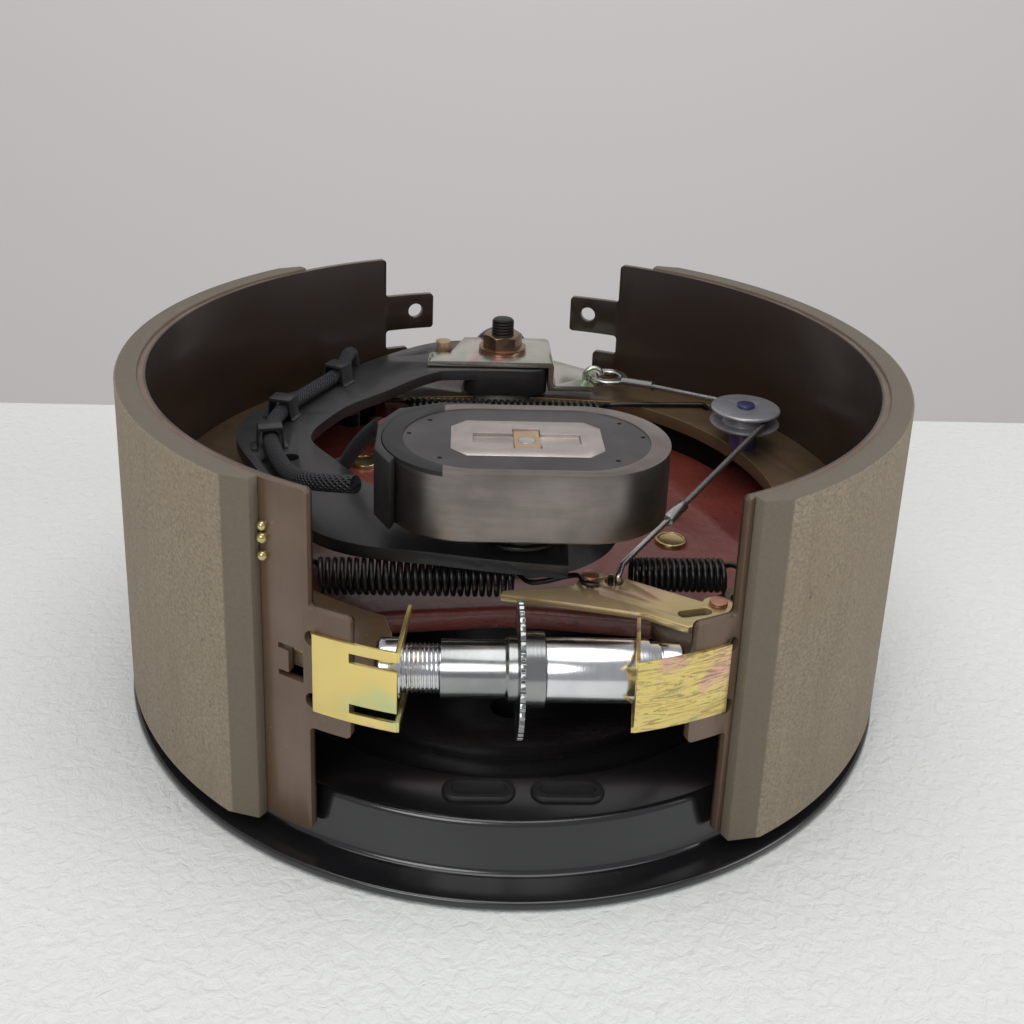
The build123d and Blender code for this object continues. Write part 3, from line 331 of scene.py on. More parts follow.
def braided(name):
    """A woven sleeve: two sets of strands that cross, from the sleeve's own UV map."""
    made, tree, shader = material(name)
    where = tree.nodes.new("ShaderNodeTexCoord").outputs["UV"]
    heights = []
    for lean in (1, -1):
        split = tree.nodes.new("ShaderNodeSeparateXYZ")
        link(tree, where, split.inputs["Vector"])
        around = sums(tree, "MULTIPLY", split.outputs["Y"], 10.0 * lean)
        total = sums(tree, "ADD", split.outputs["X"], around)
        angle = sums(tree, "MULTIPLY", total, 2 * math.pi)
        heights.append(sums(tree, "SINE", angle, None))
    weave = sums(tree, "MAXIMUM", heights[0], heights[1])
    mask = spread(tree, weave, 0.0, 1.0)
    link(tree, blend_colour(tree, mask, (0.004, 0.004, 0.005), (0.035, 0.035, 0.040)),
         shader.inputs["Base Color"])
    shader.inputs["Roughness"].default_value = 0.5
    bump(tree, shader, weave, 0.9, 0.0006)
    return made


def lining_finish(name, tone):
    """Moulded friction lining: coarse grain, crumbs, dark bevels and a duller top."""
    made, tree, shader = material(name)
    coordinates = tree.nodes.new("ShaderNodeTexCoord")
    where = coordinates.outputs["Object"]
    grain = noise(tree, where, 850.0, 8.0, 0.75)
    crumbs = noise(tree, where, 230.0, 6.0, 0.75)
    patches = noise(tree, where, 24.0, 3.0, 0.6)
    streaks = noise(tree, stretched(tree, where, (90, 90, 9)), 1.0, 5.0, 0.7)
    toned = blend_colour(tree, spread(tree, grain, 0.38, 0.62), faded(tone, 0.70),
                         faded(tone, 1.22))
    toned = blend_colour(tree, sums(tree, "MULTIPLY", spread(tree, patches, 0.42, 0.7), 0.4),
                         toned, (0.27, 0.21, 0.14))
    toned = blend_colour(tree, sums(tree, "MULTIPLY", spread(tree, streaks, 0.5, 0.7), 0.35),
                         toned, faded(tone, 0.6))
    toned = blend_colour(tree, spread(tree, crumbs, 0.63, 0.70), toned, faded(tone, 0.4))
    bevel = spread(tree, reach(tree, where), *BEVEL_REACH)
    toned = blend_colour(tree, sums(tree, "MULTIPLY", bevel, 0.85), toned, faded(tone, 0.5))
    top = spread(tree, axis_of(tree, coordinates.outputs["Normal"], 2), 0.5, 0.9)
    toned = blend_colour(tree, sums(tree, "MULTIPLY", top, 0.3), toned, (0.12, 0.11, 0.10))
    link(tree, toned, shader.inputs["Base Color"])
    shader.inputs["Roughness"].default_value = 0.86
    rough_height = sums(tree, "ADD", grain, sums(tree, "MULTIPLY", crumbs, 2.2))
    bump(tree, shader, rough_height, 0.45, 0.0006)
    return made


def table_finish(name, tone):
    """Brown lacquer, with painted shade darkening the inner side of the shoe."""
    made, tree, shader = material(name)
    where = tree.nodes.new("ShaderNodeTexCoord").outputs["Object"]
    patches = spread(tree, noise(tree, where, 20.0, 4.0), 0.35, 0.68)
    runs = noise(tree, stretched(tree, where, (70, 70, 12)), 1.0, 4.0, 0.65)
    grain = noise(tree, where, 420.0, 5.0)
    toned = blend_colour(tree, patches, tone, faded(tone, 0.72))
    toned = blend_colour(tree, sums(tree, "MULTIPLY", spread(tree, runs, 0.5, 0.72), 0.5),
                         toned, faded(tone, 0.5))
    toned = blend_colour(tree, spread(tree, grain, 0.68, 0.74), toned, faded(tone, 1.7))
    # Painted shade: the shoe's inner face, inside this reach, is toned near-black brown
    inside = spread(tree, reach(tree, where), *TABLE_SHADE_REACH)
    dark = blend_colour(tree, patches, (0.030, 0.016, 0.009), (0.018, 0.010, 0.007))
    link(tree, blend_colour(tree, inside, toned, dark), shader.inputs["Base Color"])
    shader.inputs["Metallic"].default_value = 0.2
    shader.inputs["Coat Weight"].default_value = 0.35
    shader.inputs["Coat Roughness"].default_value = 0.2
    ranged = tree.nodes.new("ShaderNodeMapRange")
    ranged.inputs["To Min"].default_value = 0.34
    ranged.inputs["To Max"].default_value = 0.52
    link(tree, patches, ranged.inputs["Value"])
    link(tree, ranged.outputs["Result"], shader.inputs["Roughness"])
    bump(tree, shader, sums(tree, "ADD", grain, runs), 0.12, 0.0003)
    return made


def cast_finish(name, tone):
    """Red paint over the casting's plate, with painted shade turning the casting near-black under
    the plate.
    """
    made, tree, shader = material(name)
    where = tree.nodes.new("ShaderNodeTexCoord").outputs["Object"]
    patches = spread(tree, noise(tree, where, 30.0, 5.0, 0.65), 0.35, 0.68)
    grain = noise(tree, where, 380.0, 6.0, 0.7)
    pits = noise(tree, where, 140.0, 4.0, 0.6)
    toned = blend_colour(tree, patches, tone, faded(tone, 0.62))
    toned = blend_colour(tree, spread(tree, pits, 0.62, 0.72), toned, faded(tone, 0.35))
    toned = blend_colour(tree, spread(tree, grain, 0.66, 0.76), toned, (0.26, 0.09, 0.07))
    # Painted shade: under the plate's overhang the casting is toned near-black
    under_plate_shade = spread(tree, axis_of(tree, where, 2), *PLATE_SHADE_HEIGHTS)
    toned = blend_colour(tree, under_plate_shade, toned, (0.010, 0.008, 0.008))
    link(tree, toned, shader.inputs["Base Color"])
    shader.inputs["Roughness"].default_value = 0.36
    shader.inputs["Coat Weight"].default_value = 0.45
    shader.inputs["Coat Roughness"].default_value = 0.18
    bump(tree, shader, sums(tree, "ADD", grain, sums(tree, "MULTIPLY", pits, 2.0)), 0.4, 0.0007)
    return made


def rim_finish(name):
    """The magnet's steel case, with black rubber over its rim at the cable end."""
    made, tree, shader = material(name)
    where = tree.nodes.new("ShaderNodeTexCoord").outputs["Object"]
    streaks = noise(tree, stretched(tree, where, (18, 18, 150)), 1.0, 5.0, 0.7)
    patches = noise(tree, where, 30.0, 4.0, 0.6)
    tone = blend_colour(tree, spread(tree, patches, 0.35, 0.68), (0.32, 0.282, 0.262),
                        (0.20, 0.175, 0.16))
    tone = blend_colour(tree, sums(tree, "MULTIPLY", spread(tree, streaks, 0.45, 0.7), 0.5), tone,
                        (0.15, 0.132, 0.12))
    covered = sums(tree, "MULTIPLY", spread(tree, axis_of(tree, where, 0), *RUBBER_END),
                   spread(tree, axis_of(tree, where, 2), *RUBBER_HEIGHT))
    link(tree, blend_colour(tree, covered, tone, (0.010, 0.010, 0.010)),
         shader.inputs["Base Color"])
    bare = sums(tree, "SUBTRACT", 1.0, covered)
    link(tree, bare, shader.inputs["Metallic"])
    ranged = tree.nodes.new("ShaderNodeMapRange")
    ranged.inputs["To Min"].default_value = 0.55
    ranged.inputs["To Max"].default_value = 0.36
    link(tree, bare, ranged.inputs["Value"])
    link(tree, ranged.outputs["Result"], shader.inputs["Roughness"])
    bump(tree, shader, streaks, 0.1, 0.0003)
    return made


def stud_finish(name):
    """Plated anchor post with a dark stud above the bracket."""
    made, tree, shader = material(name)
    where = tree.nodes.new("ShaderNodeTexCoord").outputs["Object"]
    above = spread(tree, axis_of(tree, where, 2), *STUD_SHOULDER)
    link(tree, blend_colour(tree, above, (0.35, 0.33, 0.31), (0.020, 0.019, 0.018)),
         shader.inputs["Base Color"])
    shader.inputs["Metallic"].default_value = 0.7
    shader.inputs["Roughness"].default_value = 0.42
    wave = along_thread(tree, where, STUD_PITCH)
    bump(tree, shader, sums(tree, "MULTIPLY", wave, above), 1.0, 0.0005)
    return made


def finishes():
    """Every finish by name, made once."""
    store = bpy.data.materials
    if "shoe_lacquer" in store:
        return store
    tint = colours()
    lining = tuple(tint.lining)
    lacquer = tuple(tint.lacquer)
    casting = tuple(tint.casting)
    lining_finish("lining_grain", lining)
    table_finish("shoe_lacquer", lacquer)
    mottled("gilt_edge", (0.44, 0.27, 0.10), (0.26, 0.17, 0.07), (0.16, 0.10, 0.05), 60.0, 500.0,
            0.6, (0.26, 0.4), 0.4, 0.1)
    mottled("web_lacquer", (0.14, 0.09, 0.048), (0.078, 0.050, 0.028), (0.21, 0.14, 0.065),
            30.0, 300.0, 0.3, (0.30, 0.5), 0.3, 0.1)
    mottled("shield_paint", (0.009, 0.009, 0.010), (0.013, 0.013, 0.014), (0.022, 0.022, 0.023),
            14.0, 500.0, 0.0, (0.16, 0.24), 0.6, 0.03)
    mottled("arm_paint", (0.014, 0.014, 0.015), (0.022, 0.021, 0.021), (0.05, 0.05, 0.05),
            30.0, 700.0, 0.0, (0.34, 0.48), 0.12, 0.10)
    cast_finish("cast_paint", casting)
    mottled("rubber_black", (0.012, 0.012, 0.012), (0.02, 0.02, 0.02), (0.03, 0.03, 0.03),
            40.0, 800.0, 0.0, (0.42, 0.6), 0.0, 0.2)
    mottled("potted_face", (0.068, 0.064, 0.065), (0.050, 0.047, 0.048), (0.10, 0.095, 0.095),
            40.0, 900.0, 0.35, (0.40, 0.54), 0.0, 0.2)
    mottled("tan_pin", (0.50, 0.36, 0.22), (0.40, 0.28, 0.17), (0.3, 0.2, 0.12),
            60.0, 700.0, 0.6, (0.32, 0.44), 0.0, 0.1)
    mottled("bronze_nut", (0.30, 0.17, 0.12), (0.21, 0.16, 0.10), (0.36, 0.24, 0.21),
            70.0, 400.0, 0.95, (0.24, 0.36), 0.0, 0.08)
    rim_finish("case_steel")
    stud_finish("stud_steel")
    mottled("pole_steel", (0.55, 0.50, 0.47), (0.42, 0.38, 0.36), (0.3, 0.27, 0.25),
            80.0, 1500.0, 0.9, (0.34, 0.46), 0.0, 0.2)
    mottled("spring_black", (0.012, 0.012, 0.013), (0.03, 0.028, 0.027), (0.08, 0.075, 0.07),
            60.0, 900.0, 0.6, (0.26, 0.42), 0.2, 0.1)
    mottled("zinc_plate", (0.62, 0.62, 0.60), (0.50, 0.50, 0.47), (0.42, 0.40, 0.36),
            50.0, 900.0, 1.0, (0.22, 0.36), 0.0, 0.1)
    mottled("guide_steel", (0.40, 0.40, 0.42), (0.26, 0.26, 0.28), (0.52, 0.52, 0.54),
            70.0, 900.0, 0.55, (0.25, 0.38), 0.0, 0.12)
    mottled("pin_copper", (0.60, 0.30, 0.20), (0.48, 0.24, 0.16), (0.3, 0.16, 0.1),
            90.0, 900.0, 0.9, (0.28, 0.4), 0.0, 0.1)
    mottled("gilt_cap", (0.74, 0.58, 0.30), (0.60, 0.46, 0.24), (0.4, 0.3, 0.15),
            60.0, 900.0, 1.0, (0.22, 0.34), 0.0, 0.08)
    mottled("violet_rivet", (0.10, 0.11, 0.32), (0.16, 0.14, 0.30), (0.05, 0.05, 0.2),
            90.0, 900.0, 0.8, (0.25, 0.35), 0.0, 0.05)
    mottled("cable_strand", (0.36, 0.35, 0.34), (0.26, 0.25, 0.24), (0.15, 0.15, 0.15),
            300.0, 2500.0, 1.0, (0.32, 0.45), 0.0, 0.5, 0.0004)
    mottled("lead_red", (0.42, 0.02, 0.015), (0.36, 0.02, 0.015), (0.3, 0.02, 0.01),
            60.0, 500.0, 0.0, (0.35, 0.45), 0.0, 0.05)
    mottled("set_adhesive", (0.62, 0.52, 0.24), (0.50, 0.42, 0.20), (0.30, 0.24, 0.10),
            80.0, 600.0, 0.85, (0.12, 0.2), 0.6, 0.05)
    lathe_turned("nut_zinc", (0.38, 0.385, 0.38), (0.28, 0.285, 0.285), (0.12, 0.28), 0)
    lathe_turned("adjuster_zinc", (0.78, 0.79, 0.80), (0.60, 0.61, 0.63), (0.10, 0.26), 0)
    lathe_turned("post_zinc", (0.62, 0.62, 0.62), (0.5, 0.5, 0.48), (0.2, 0.36), 2)
    chromate("clip_chromate", False)
    chromate("clip_scuffed", True)
    chromate("pale_chromate", False, PALE)
    chromate("lever_chromate", False, LEVER, 0.6)
    braided("sleeve_braid")
    return store


# Modelling helpers


def alone(piece=None):
    """Selects this piece and nothing else."""
    bpy.ops.object.select_all(action="DESELECT")
    if piece is not None:
        piece.select_set(True)
        bpy.context.view_layer.objects.active = piece


def settle(piece, name, body, finish):
    """Names a finished piece, bakes its place into its mesh and puts it on its body."""
    alone(piece)
    bpy.ops.object.transform_apply(location=True, rotation=True, scale=True)
    piece.name = name
    if finish is not None:
        piece.data.materials.clear()
        piece.data.materials.append(finishes()[finish])
    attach(piece, body)
    return piece


def body_of_node(node):
    for body, nodes in frame["record"]["behaviour"]["bodies"].items():
        if node in nodes:
            return body
    raise RuntimeError("no body holds " + node)


def from_solid(node, finish, round_by=None, angle=32.0, segments=2, edge=None, extra=()):
    """A piece cut from a solid's own shape, welded, rounded on its edges and smooth shaded."""
    alone(frame["nodes"][node])
    bpy.ops.object.duplicate()
    piece = bpy.context.view_layer.objects.active = bpy.context.selected_objects[0]
    piece.parent = None
    piece.data.materials.clear()
    piece.data.materials.append(finishes()[finish])
    if edge is not None:
        piece.data.materials.append(finishes()[edge])
    alone(piece)
    bpy.ops.object.mode_set(mode="EDIT")
    bpy.ops.mesh.select_all(action="SELECT")
    bpy.ops.mesh.remove_doubles(threshold=0.00001)
    bpy.ops.mesh.customdata_custom_splitnormals_clear()
    bpy.ops.mesh.dissolve_limited(angle_limit=math.radians(0.5))
    bpy.ops.object.mode_set(mode="OBJECT")
    width = sizes().edge_round if round_by is None else round_by
    if width > 0:
        bevel = piece.modifiers.new("round", "BEVEL")
        bevel.width = width
        bevel.segments = segments
        bevel.limit_method = "ANGLE"
        bevel.angle_limit = math.radians(angle)
        bevel.use_clamp_overlap = True
        if edge is not None:
            bevel.material = 1
        bpy.ops.object.modifier_apply(modifier="round")
    for item in extra:
        item.data.materials.clear()
        item.data.materials.append(finishes()[finish])
    if extra:
        bpy.ops.object.select_all(action="DESELECT")
        for item in extra:
            item.select_set(True)
        piece.select_set(True)
        bpy.context.view_layer.objects.active = piece
        bpy.ops.object.join()
    bpy.ops.object.shade_smooth_by_angle(angle=math.radians(angle))
    settle(piece, node + "_finish", body_of_node(node), None)
    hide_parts(node)
    return piece


def rounded(points, radius, steps=5):
    """A closed outline whose corners are rounded, as (reach, height) points."""
    made = []
    count = len(points)
    for index, point in enumerate(points):
        here = Vector(point)
        before = Vector(points[index - 1]) - here
        after = Vector(points[(index + 1) % count]) - here
        cut = min(radius, 0.45 * before.length, 0.45 * after.length)
        first = here + before.normalized() * cut
        last = here + after.normalized() * cut
        for step in range(steps + 1):
            share = step / steps
            made.append((1 - share) ** 2 * first + 2 * share * (1 - share) * here
                        + share ** 2 * last)
    return made


def spun(name, outline, sides):
    """A ring spun round the spindle's axis from an outline in millimetres."""
    curve = bpy.data.curves.new(name, "CURVE")
    curve.dimensions = "3D"
    line = curve.splines.new("POLY")
    line.points.add(len(outline) - 1)
    for point, place in zip(line.points, outline):
        point.co = (place[0] * MM, 0, place[1] * MM, 1.0)
    line.use_cyclic_u = True
    piece = bpy.data.objects.new(name, curve)
    bpy.context.collection.objects.link(piece)
    alone(piece)
    bpy.ops.object.convert(target="MESH")
    piece = bpy.context.view_layer.objects.active
    turn = piece.modifiers.new("spin", "SCREW")
    turn.axis = "Z"
    turn.angle = 2 * math.pi
    turn.steps = sides
    turn.render_steps = sides
    turn.use_merge_vertices = True
    turn.merge_threshold = 0.00001
    bpy.ops.object.modifier_apply(modifier="spin")
    bpy.ops.object.mode_set(mode="EDIT")
    bpy.ops.mesh.select_all(action="SELECT")
    bpy.ops.mesh.normals_make_consistent(inside=False)
    bpy.ops.object.mode_set(mode="OBJECT")
    bpy.ops.object.shade_smooth_by_angle(angle=math.radians(50))
    return piece


def nurbs(name, points, radius, body, finish, node, woven=False):
    """A round cord or wire along points in millimetres, as one smooth line."""
    curve = bpy.data.curves.new(name, "CURVE")
    curve.dimensions = "3D"
    spline = curve.splines.new("NURBS")
    spline.points.add(len(points) - 1)
    for point, place in zip(spline.points, points):
        point.co = (place[0] * MM, place[1] * MM, place[2] * MM, 1.0)
    spline.order_u = 3
    spline.use_endpoint_u = True
    spline.resolution_u = 14
    curve.bevel_depth = radius * MM
    curve.bevel_resolution = 5
    curve.use_fill_caps = True
    piece = bpy.data.objects.new(name, curve)
    bpy.context.collection.objects.link(piece)
    if woven:
        length = sum(math.dist(start, end) for start, end in zip(points, points[1:])) * MM
        crossings = round(length / sizes().braid_pitch)
        alone(piece)
        bpy.ops.object.convert(target="MESH")
        piece = bpy.context.view_layer.objects.active
        for loop in piece.data.uv_layers.active.data:
            loop.uv.x *= crossings
    piece.data.materials.append(finishes()[finish])
    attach(piece, body)
    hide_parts(node)
    return piece


def coil(start, length, mean_radius, wire_radius, turns):
    """A wound coil along X from a wire section, in millimetres."""
    alone()
    bpy.ops.mesh.primitive_circle_add(vertices=sizes().coil_sides, radius=wire_radius * MM,
                                      fill_type="NGON", location=(0, 0, 0))
    piece = bpy.context.view_layer.objects.active
    bpy.ops.object.mode_set(mode="EDIT")
    bpy.ops.mesh.select_all(action="SELECT")
    bpy.ops.transform.translate(value=(0, mean_radius * MM, 0))
    bpy.ops.object.mode_set(mode="OBJECT")
    screw = piece.modifiers.new("wind", "SCREW")
    screw.axis = "X"
    screw.angle = 2 * math.pi
    screw.screw_offset = length / turns * MM
    screw.iterations = max(1, round(turns))
    screw.steps = 20
    screw.render_steps = 20
    screw.use_merge_vertices = False
    bpy.ops.object.modifier_apply(modifier="wind")
    bpy.ops.transform.translate(value=[part * MM for part in start])
    bpy.ops.object.transform_apply(location=True, rotation=True, scale=True)
    return piece


def joined(pieces):
    """Several meshes or curves as one mesh."""
    bpy.ops.object.select_all(action="DESELECT")
    for piece in pieces:
        piece.select_set(True)
    bpy.context.view_layer.objects.active = pieces[0]
    bpy.ops.object.convert(target="MESH")
    bpy.ops.object.join()
    return bpy.context.view_layer.objects.active


def bare_wire(points, radius):
    """A wire on no body yet, for joining to a coil."""
    curve = bpy.data.curves.new("wire", "CURVE")
    curve.dimensions = "3D"
    spline = curve.splines.new("NURBS")
    spline.points.add(len(points) - 1)
    for point, place in zip(spline.points, points):
        point.co = (place[0] * MM, place[1] * MM, place[2] * MM, 1.0)
    spline.order_u = 3
    spline.use_endpoint_u = True
    spline.resolution_u = 10
    curve.bevel_depth = radius * MM
    curve.bevel_resolution = 3
    curve.use_fill_caps = True
    piece = bpy.data.objects.new("wire", curve)
    bpy.context.collection.objects.link(piece)
    return piece


def spring(name, node, start, length, mean_radius, wire_radius, turns, ends, finish):
    """A coil with its two bent ends, in place of its ribbed solid."""
    parts = [coil(start, length, mean_radius, wire_radius, turns)]
    parts += [bare_wire(points, wire_radius) for points in ends]
    piece = joined(parts)
    bpy.ops.object.shade_smooth()
    settle(piece, name, body_of_node(node), finish)
    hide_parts(node)
    return piece


# Pieces


def build_shoes():
    for side in ("primary", "secondary"):
        from_solid(side + "_lining", "lining_grain", 0.0006)
        from_solid(side + "_table", "shoe_lacquer", 0.0004, edge="gilt_edge")
        from_solid(side + "_web", "web_lacquer", 0.0004, edge="gilt_edge")


BEAD_ANGLE = 235.8
BEAD_RADIUS = 147.5
BEADS = ((118.7, 1.7), (114.5, 2.0), (108.2, 1.9))


def build_beads():
    """Beads of set adhesive at the end of the primary lining."""
    made = []
    for height, radius in BEADS:
        turn = math.radians(BEAD_ANGLE)
        place = (BEAD_RADIUS * MM * math.cos(turn), BEAD_RADIUS * MM * math.sin(turn), height * MM)
        bpy.ops.mesh.primitive_uv_sphere_add(segments=24, ring_count=14, radius=radius * MM,
                                             location=place)
        made.append(bpy.context.view_layer.objects.active)
    piece = joined(made)
    bpy.ops.object.shade_smooth()
    settle(piece, "adhesive_beads", "primary_shoe", "set_adhesive")


SHIELD_OUTLINE = [(84.0, 8.0), (84.0, 10.0), (104.3, 10.0), (114.6, 20.0), (138.0, 20.0),
                  (143.0, 3.0), (155.4, 3.0), (155.4, 0.0), (153.4, 0.0), (153.4, 1.0),
                  (141.0, 1.0), (136.0, 18.0), (116.6, 18.0), (104.9, 8.0)]
PRESS_RADIUS = 1.9
SHIELD_SIDES = 160


def build_backing():
    shield = spun("dust_shield_finish", rounded(SHIELD_OUTLINE, PRESS_RADIUS), SHIELD_SIDES)
    settle(shield, "dust_shield_finish", "backing", "shield_paint")
    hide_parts("dust_shield")
    from_solid("spider", "cast_paint", sizes().cast_round, 40.0)
    from_solid("casting_caps", "gilt_cap", 0.0003)
    from_solid("shield_rivets", "zinc_plate", 0.0006)
    from_solid("slot_plugs", "rubber_black", 0.0004)
    from_solid("harness_grommet", "rubber_black", 0.0005)
    from_solid("anchor_post", "stud_steel", 0.0003)
    from_solid("anchor_nut", "bronze_nut", 0.0004)
    from_solid("anchor_bracket", "pale_chromate", 0.0004)


def build_arm():
    from_solid("magnet_arm", "arm_paint", 0.0006)
    from_solid("stop_pin", "tan_pin", 0.0004)
    from_solid("magnet_post", "post_zinc", 0.0004)
    from_solid("magnet_spring", "spring_black", 0.0, 60.0)


def build_magnet():
    from_solid("magnet_case", "case_steel", 0.0006)
    from_solid("magnet_face", "potted_face", 0.0)
    from_solid("pole_plate", "pole_steel", 0.0003)
    from_solid("magnet_clip", "tan_pin", 0.0001)
    from_solid("wire_boot", "rubber_black", 0.0012)


ADJUSTER_Y = -128.6
ADJUSTER_Z = 72.0
THREAD_START = -38.5
THREAD_LENGTH = 12.6
THREAD_RADIUS = 7.35
THREAD_CREST = 0.52
THREAD_TURNS = 9


def build_adjuster():
    thread = coil((THREAD_START, ADJUSTER_Y, ADJUSTER_Z), THREAD_LENGTH, THREAD_RADIUS,
                  THREAD_CREST, THREAD_TURNS)
    from_solid("adjuster_screw", "adjuster_zinc", 0.0003, extra=[thread])
    from_solid("star_wheel_nut", "nut_zinc", 0.0002)
    from_solid("adjuster_tube", "adjuster_zinc", 0.0004)
    from_solid("primary_clip", "clip_chromate", 0.0002)
    from_solid("secondary_clip", "clip_scuffed", 0.0002)
    from_solid("adjust_lever", "lever_chromate", 0.0003)
    from_solid("lever_pivot", "pin_copper", 0.0003)
    from_solid("lever_spring_pin", "pin_copper", 0.0003)


def build_cable():
    from_solid("guide_post", "violet_rivet", 0.0004)
    from_solid("cable_guide", "guide_steel", 0.0003)
    from_solid("cable_eye", "zinc_plate", 0.0)
    from_solid("cable_ferrule", "zinc_plate", 0.0003)
    from_solid("cable_hook", "zinc_plate", 0.0, 60.0)
    from_solid("adjuster_cable", "cable_strand", 0.0, 60.0)


UPPER_HOLE = (101, 90)
LOWER_HOLE = (79.5, -88)
HOLE_END = 67
RETURN_LEVEL = 71.5
RETURN_WIRE_LEVEL = 76.5
ADJUSTER_COIL_LEVEL = 78.4
LEVER_COIL_LEVEL = 80.6
HOOK_LEVEL = 86.3


def return_end(start, side):
    """The wire from the return coil's end to the web's upper hole on one side."""
    hole_x = side * UPPER_HOLE[0]
    return [(start, 92.9, RETURN_LEVEL), (start + 2 * side, 92, RETURN_LEVEL + 3),
            (start + 6 * side, 88.5, RETURN_WIRE_LEVEL), (94 * side, 89.8, RETURN_WIRE_LEVEL),
            (hole_x, UPPER_HOLE[1], RETURN_WIRE_LEVEL), (hole_x, UPPER_HOLE[1], HOLE_END)]


def build_springs():
    level = RETURN_LEVEL
    spring("shoe_return_coil", "shoe_return_spring", (-44, 88, level), 92, 4.9, 1.25, 30,
           [return_end(-44, -1), return_end(48, 1)], "spring_black")
    level = ADJUSTER_COIL_LEVEL
    hole_x, hole_y = -LOWER_HOLE[0], LOWER_HOLE[1]
    spring("adjuster_coil", "adjuster_spring", (-70, -82.5, level), 69, 5.75, 0.95, 27,
           [[(-70, -76.75, level), (-71.5, -78.5, level + 3.5), (-73, -83, level + 5.6),
             (hole_x, hole_y, level + 5.6), (hole_x, hole_y, HOLE_END)],
            [(-1, -76.75, level), (1, -79.0, level), (4, -85.5, level), (10, -87.6, level + 2),
             (18, -88.4, 83.4), (21.6, -93, HOOK_LEVEL), (21.8, -99.8, HOOK_LEVEL),
             (27.2, -99.6, HOOK_LEVEL)]], "spring_black")
    level = LEVER_COIL_LEVEL
    hole_x, hole_y = LOWER_HOLE
    spring("lever_coil", "lever_return_spring", (41.5, -82, level), 33, 5.25, 0.95, 15,
           [[(41.5, -76.75, level), (40.8, -82, level - 4.8), (40.5, -87, level),
             (37.5, -88.2, level - 0.6), (31.8, -94.2, level - 0.9), (31.8, -94.2, 86.6)],
            [(74.5, -76.75, level), (76, -79, level + 3.4), (hole_x, -86, level + 5.1),
             (hole_x, hole_y, 82), (hole_x, hole_y, HOLE_END)]], "spring_black")


HARNESS_RADIUS = 3.3
BRANCH_RADIUS = 3.1
LEAD_RADIUS = 1.3
RISER_ROUTE = [(-74, 106, 14), (-74, 106, 50), (-74, 106, 84)]
SLEEVE_ROUTE = [
    (-74, 106, 84.1), (-74, 106, 95), (-76, 92, 96.8), (-77, 76, 94.6), (-88, 54, 94.4),
    (-98, 31, 94.6), (-101, 9, 94.4), (-95, -16, 94.8), (-85, -44, 98.5), (-74, -64, 105.5),
    (-57.6, -74, 110)]
BRANCH_ROUTE = [(-95, 3, 82), (-69.5, -4.5, 81.9), (-63.5, -14, 96), (-57.5, -26, 108),
                (-51.5, -36.5, 117)]
LEAD_ROUTE = [(-51.4, -36.6, 117.2), (-47, -42.6, 122.4), (-40, -44.6, 123.8), (-31, -42.2, 124)]


def build_harness():
    nurbs("harness_riser", RISER_ROUTE, HARNESS_RADIUS, "backing", "sleeve_braid",
          "harness_lead", True)
    nurbs("harness_braid", SLEEVE_ROUTE, HARNESS_RADIUS, "arm", "sleeve_braid",
          "harness_sleeve", True)
    nurbs("branch_braid", BRANCH_ROUTE, BRANCH_RADIUS, "arm", "sleeve_braid",
          "harness_branch", True)
    nurbs("magnet_wire", LEAD_ROUTE, LEAD_RADIUS, "arm", "lead_red", "magnet_lead")


FLOOR_EDGE = 0.26
FLOOR_DEPTH = 1.74
FLOOR_WIDTH = 5.0
FLOOR_DROP = -0.0006


def build_stage():
    """Floor, backdrop, soft lamps and the room's light."""
    alone()
    made, tree, shader = material("floor_paint")
    where = tree.nodes.new("ShaderNodeTexCoord").outputs["Object"]
    shader.inputs["Base Color"].default_value = (*colours().floor, 1)
    shader.inputs["Roughness"].default_value = 0.55
    dabs = noise(tree, where, 210.0, 4.0, 0.6, 0.6)
    bump(tree, shader, dabs, 0.55, 0.0022)
    bpy.ops.mesh.primitive_plane_add(size=1, location=(0, FLOOR_EDGE - FLOOR_DEPTH / 2, FLOOR_DROP))
    floor = bpy.context.view_layer.objects.active
    floor.name = "floor"
    floor.scale = (FLOOR_WIDTH, FLOOR_DEPTH, 1)
    bpy.ops.object.transform_apply(location=True, rotation=True, scale=True)
    floor.data.materials.append(made)
    drape, tree, shader = material("backdrop_cloth")
    shader.inputs["Base Color"].default_value = (0.92, 0.87, 0.85, 1)
    shader.inputs["Roughness"].default_value = 0.9
    bpy.ops.mesh.primitive_plane_add(size=1, location=(0, 1.75, 0.4))
    wall = bpy.context.view_layer.objects.active
    wall.name = "backdrop"
    wall.scale = (9.0, 5.0, 1)
    wall.rotation_euler = (math.radians(90), 0, 0)
    bpy.ops.object.transform_apply(location=True, rotation=True, scale=True)
    wall.data.materials.append(drape)
    lamps = (("ceiling", (0.0, -0.1, 1.7), (0, 0, 0), 1.6, 13.5),
             ("front", (-0.7, -1.7, 1.3), (0, 0, 0.05), 1.1, 12.5),
             ("side", (1.6, -0.5, 1.0), (0, 0, 0.05), 0.9, 6.5))
    for name, place, aim, size, power in lamps:
        bpy.ops.object.light_add(type="AREA", location=place)
        lamp = bpy.context.view_layer.objects.active
        lamp.name = name
        lamp.data.shape = "DISK"
        lamp.data.size = size
        lamp.data.energy = power
        heading = Vector(aim) - Vector(place)
        lamp.rotation_euler = heading.to_track_quat("-Z", "Y").to_euler()
    world = bpy.data.worlds.new("room")
    bpy.context.scene.world = world
    world.use_nodes = True
    sky = world.node_tree.nodes["Background"]
    sky.inputs["Color"].default_value = (0.95, 0.96, 1.0, 1)
    sky.inputs["Strength"].default_value = 0.38
    bpy.context.scene.view_settings.view_transform = "Standard"


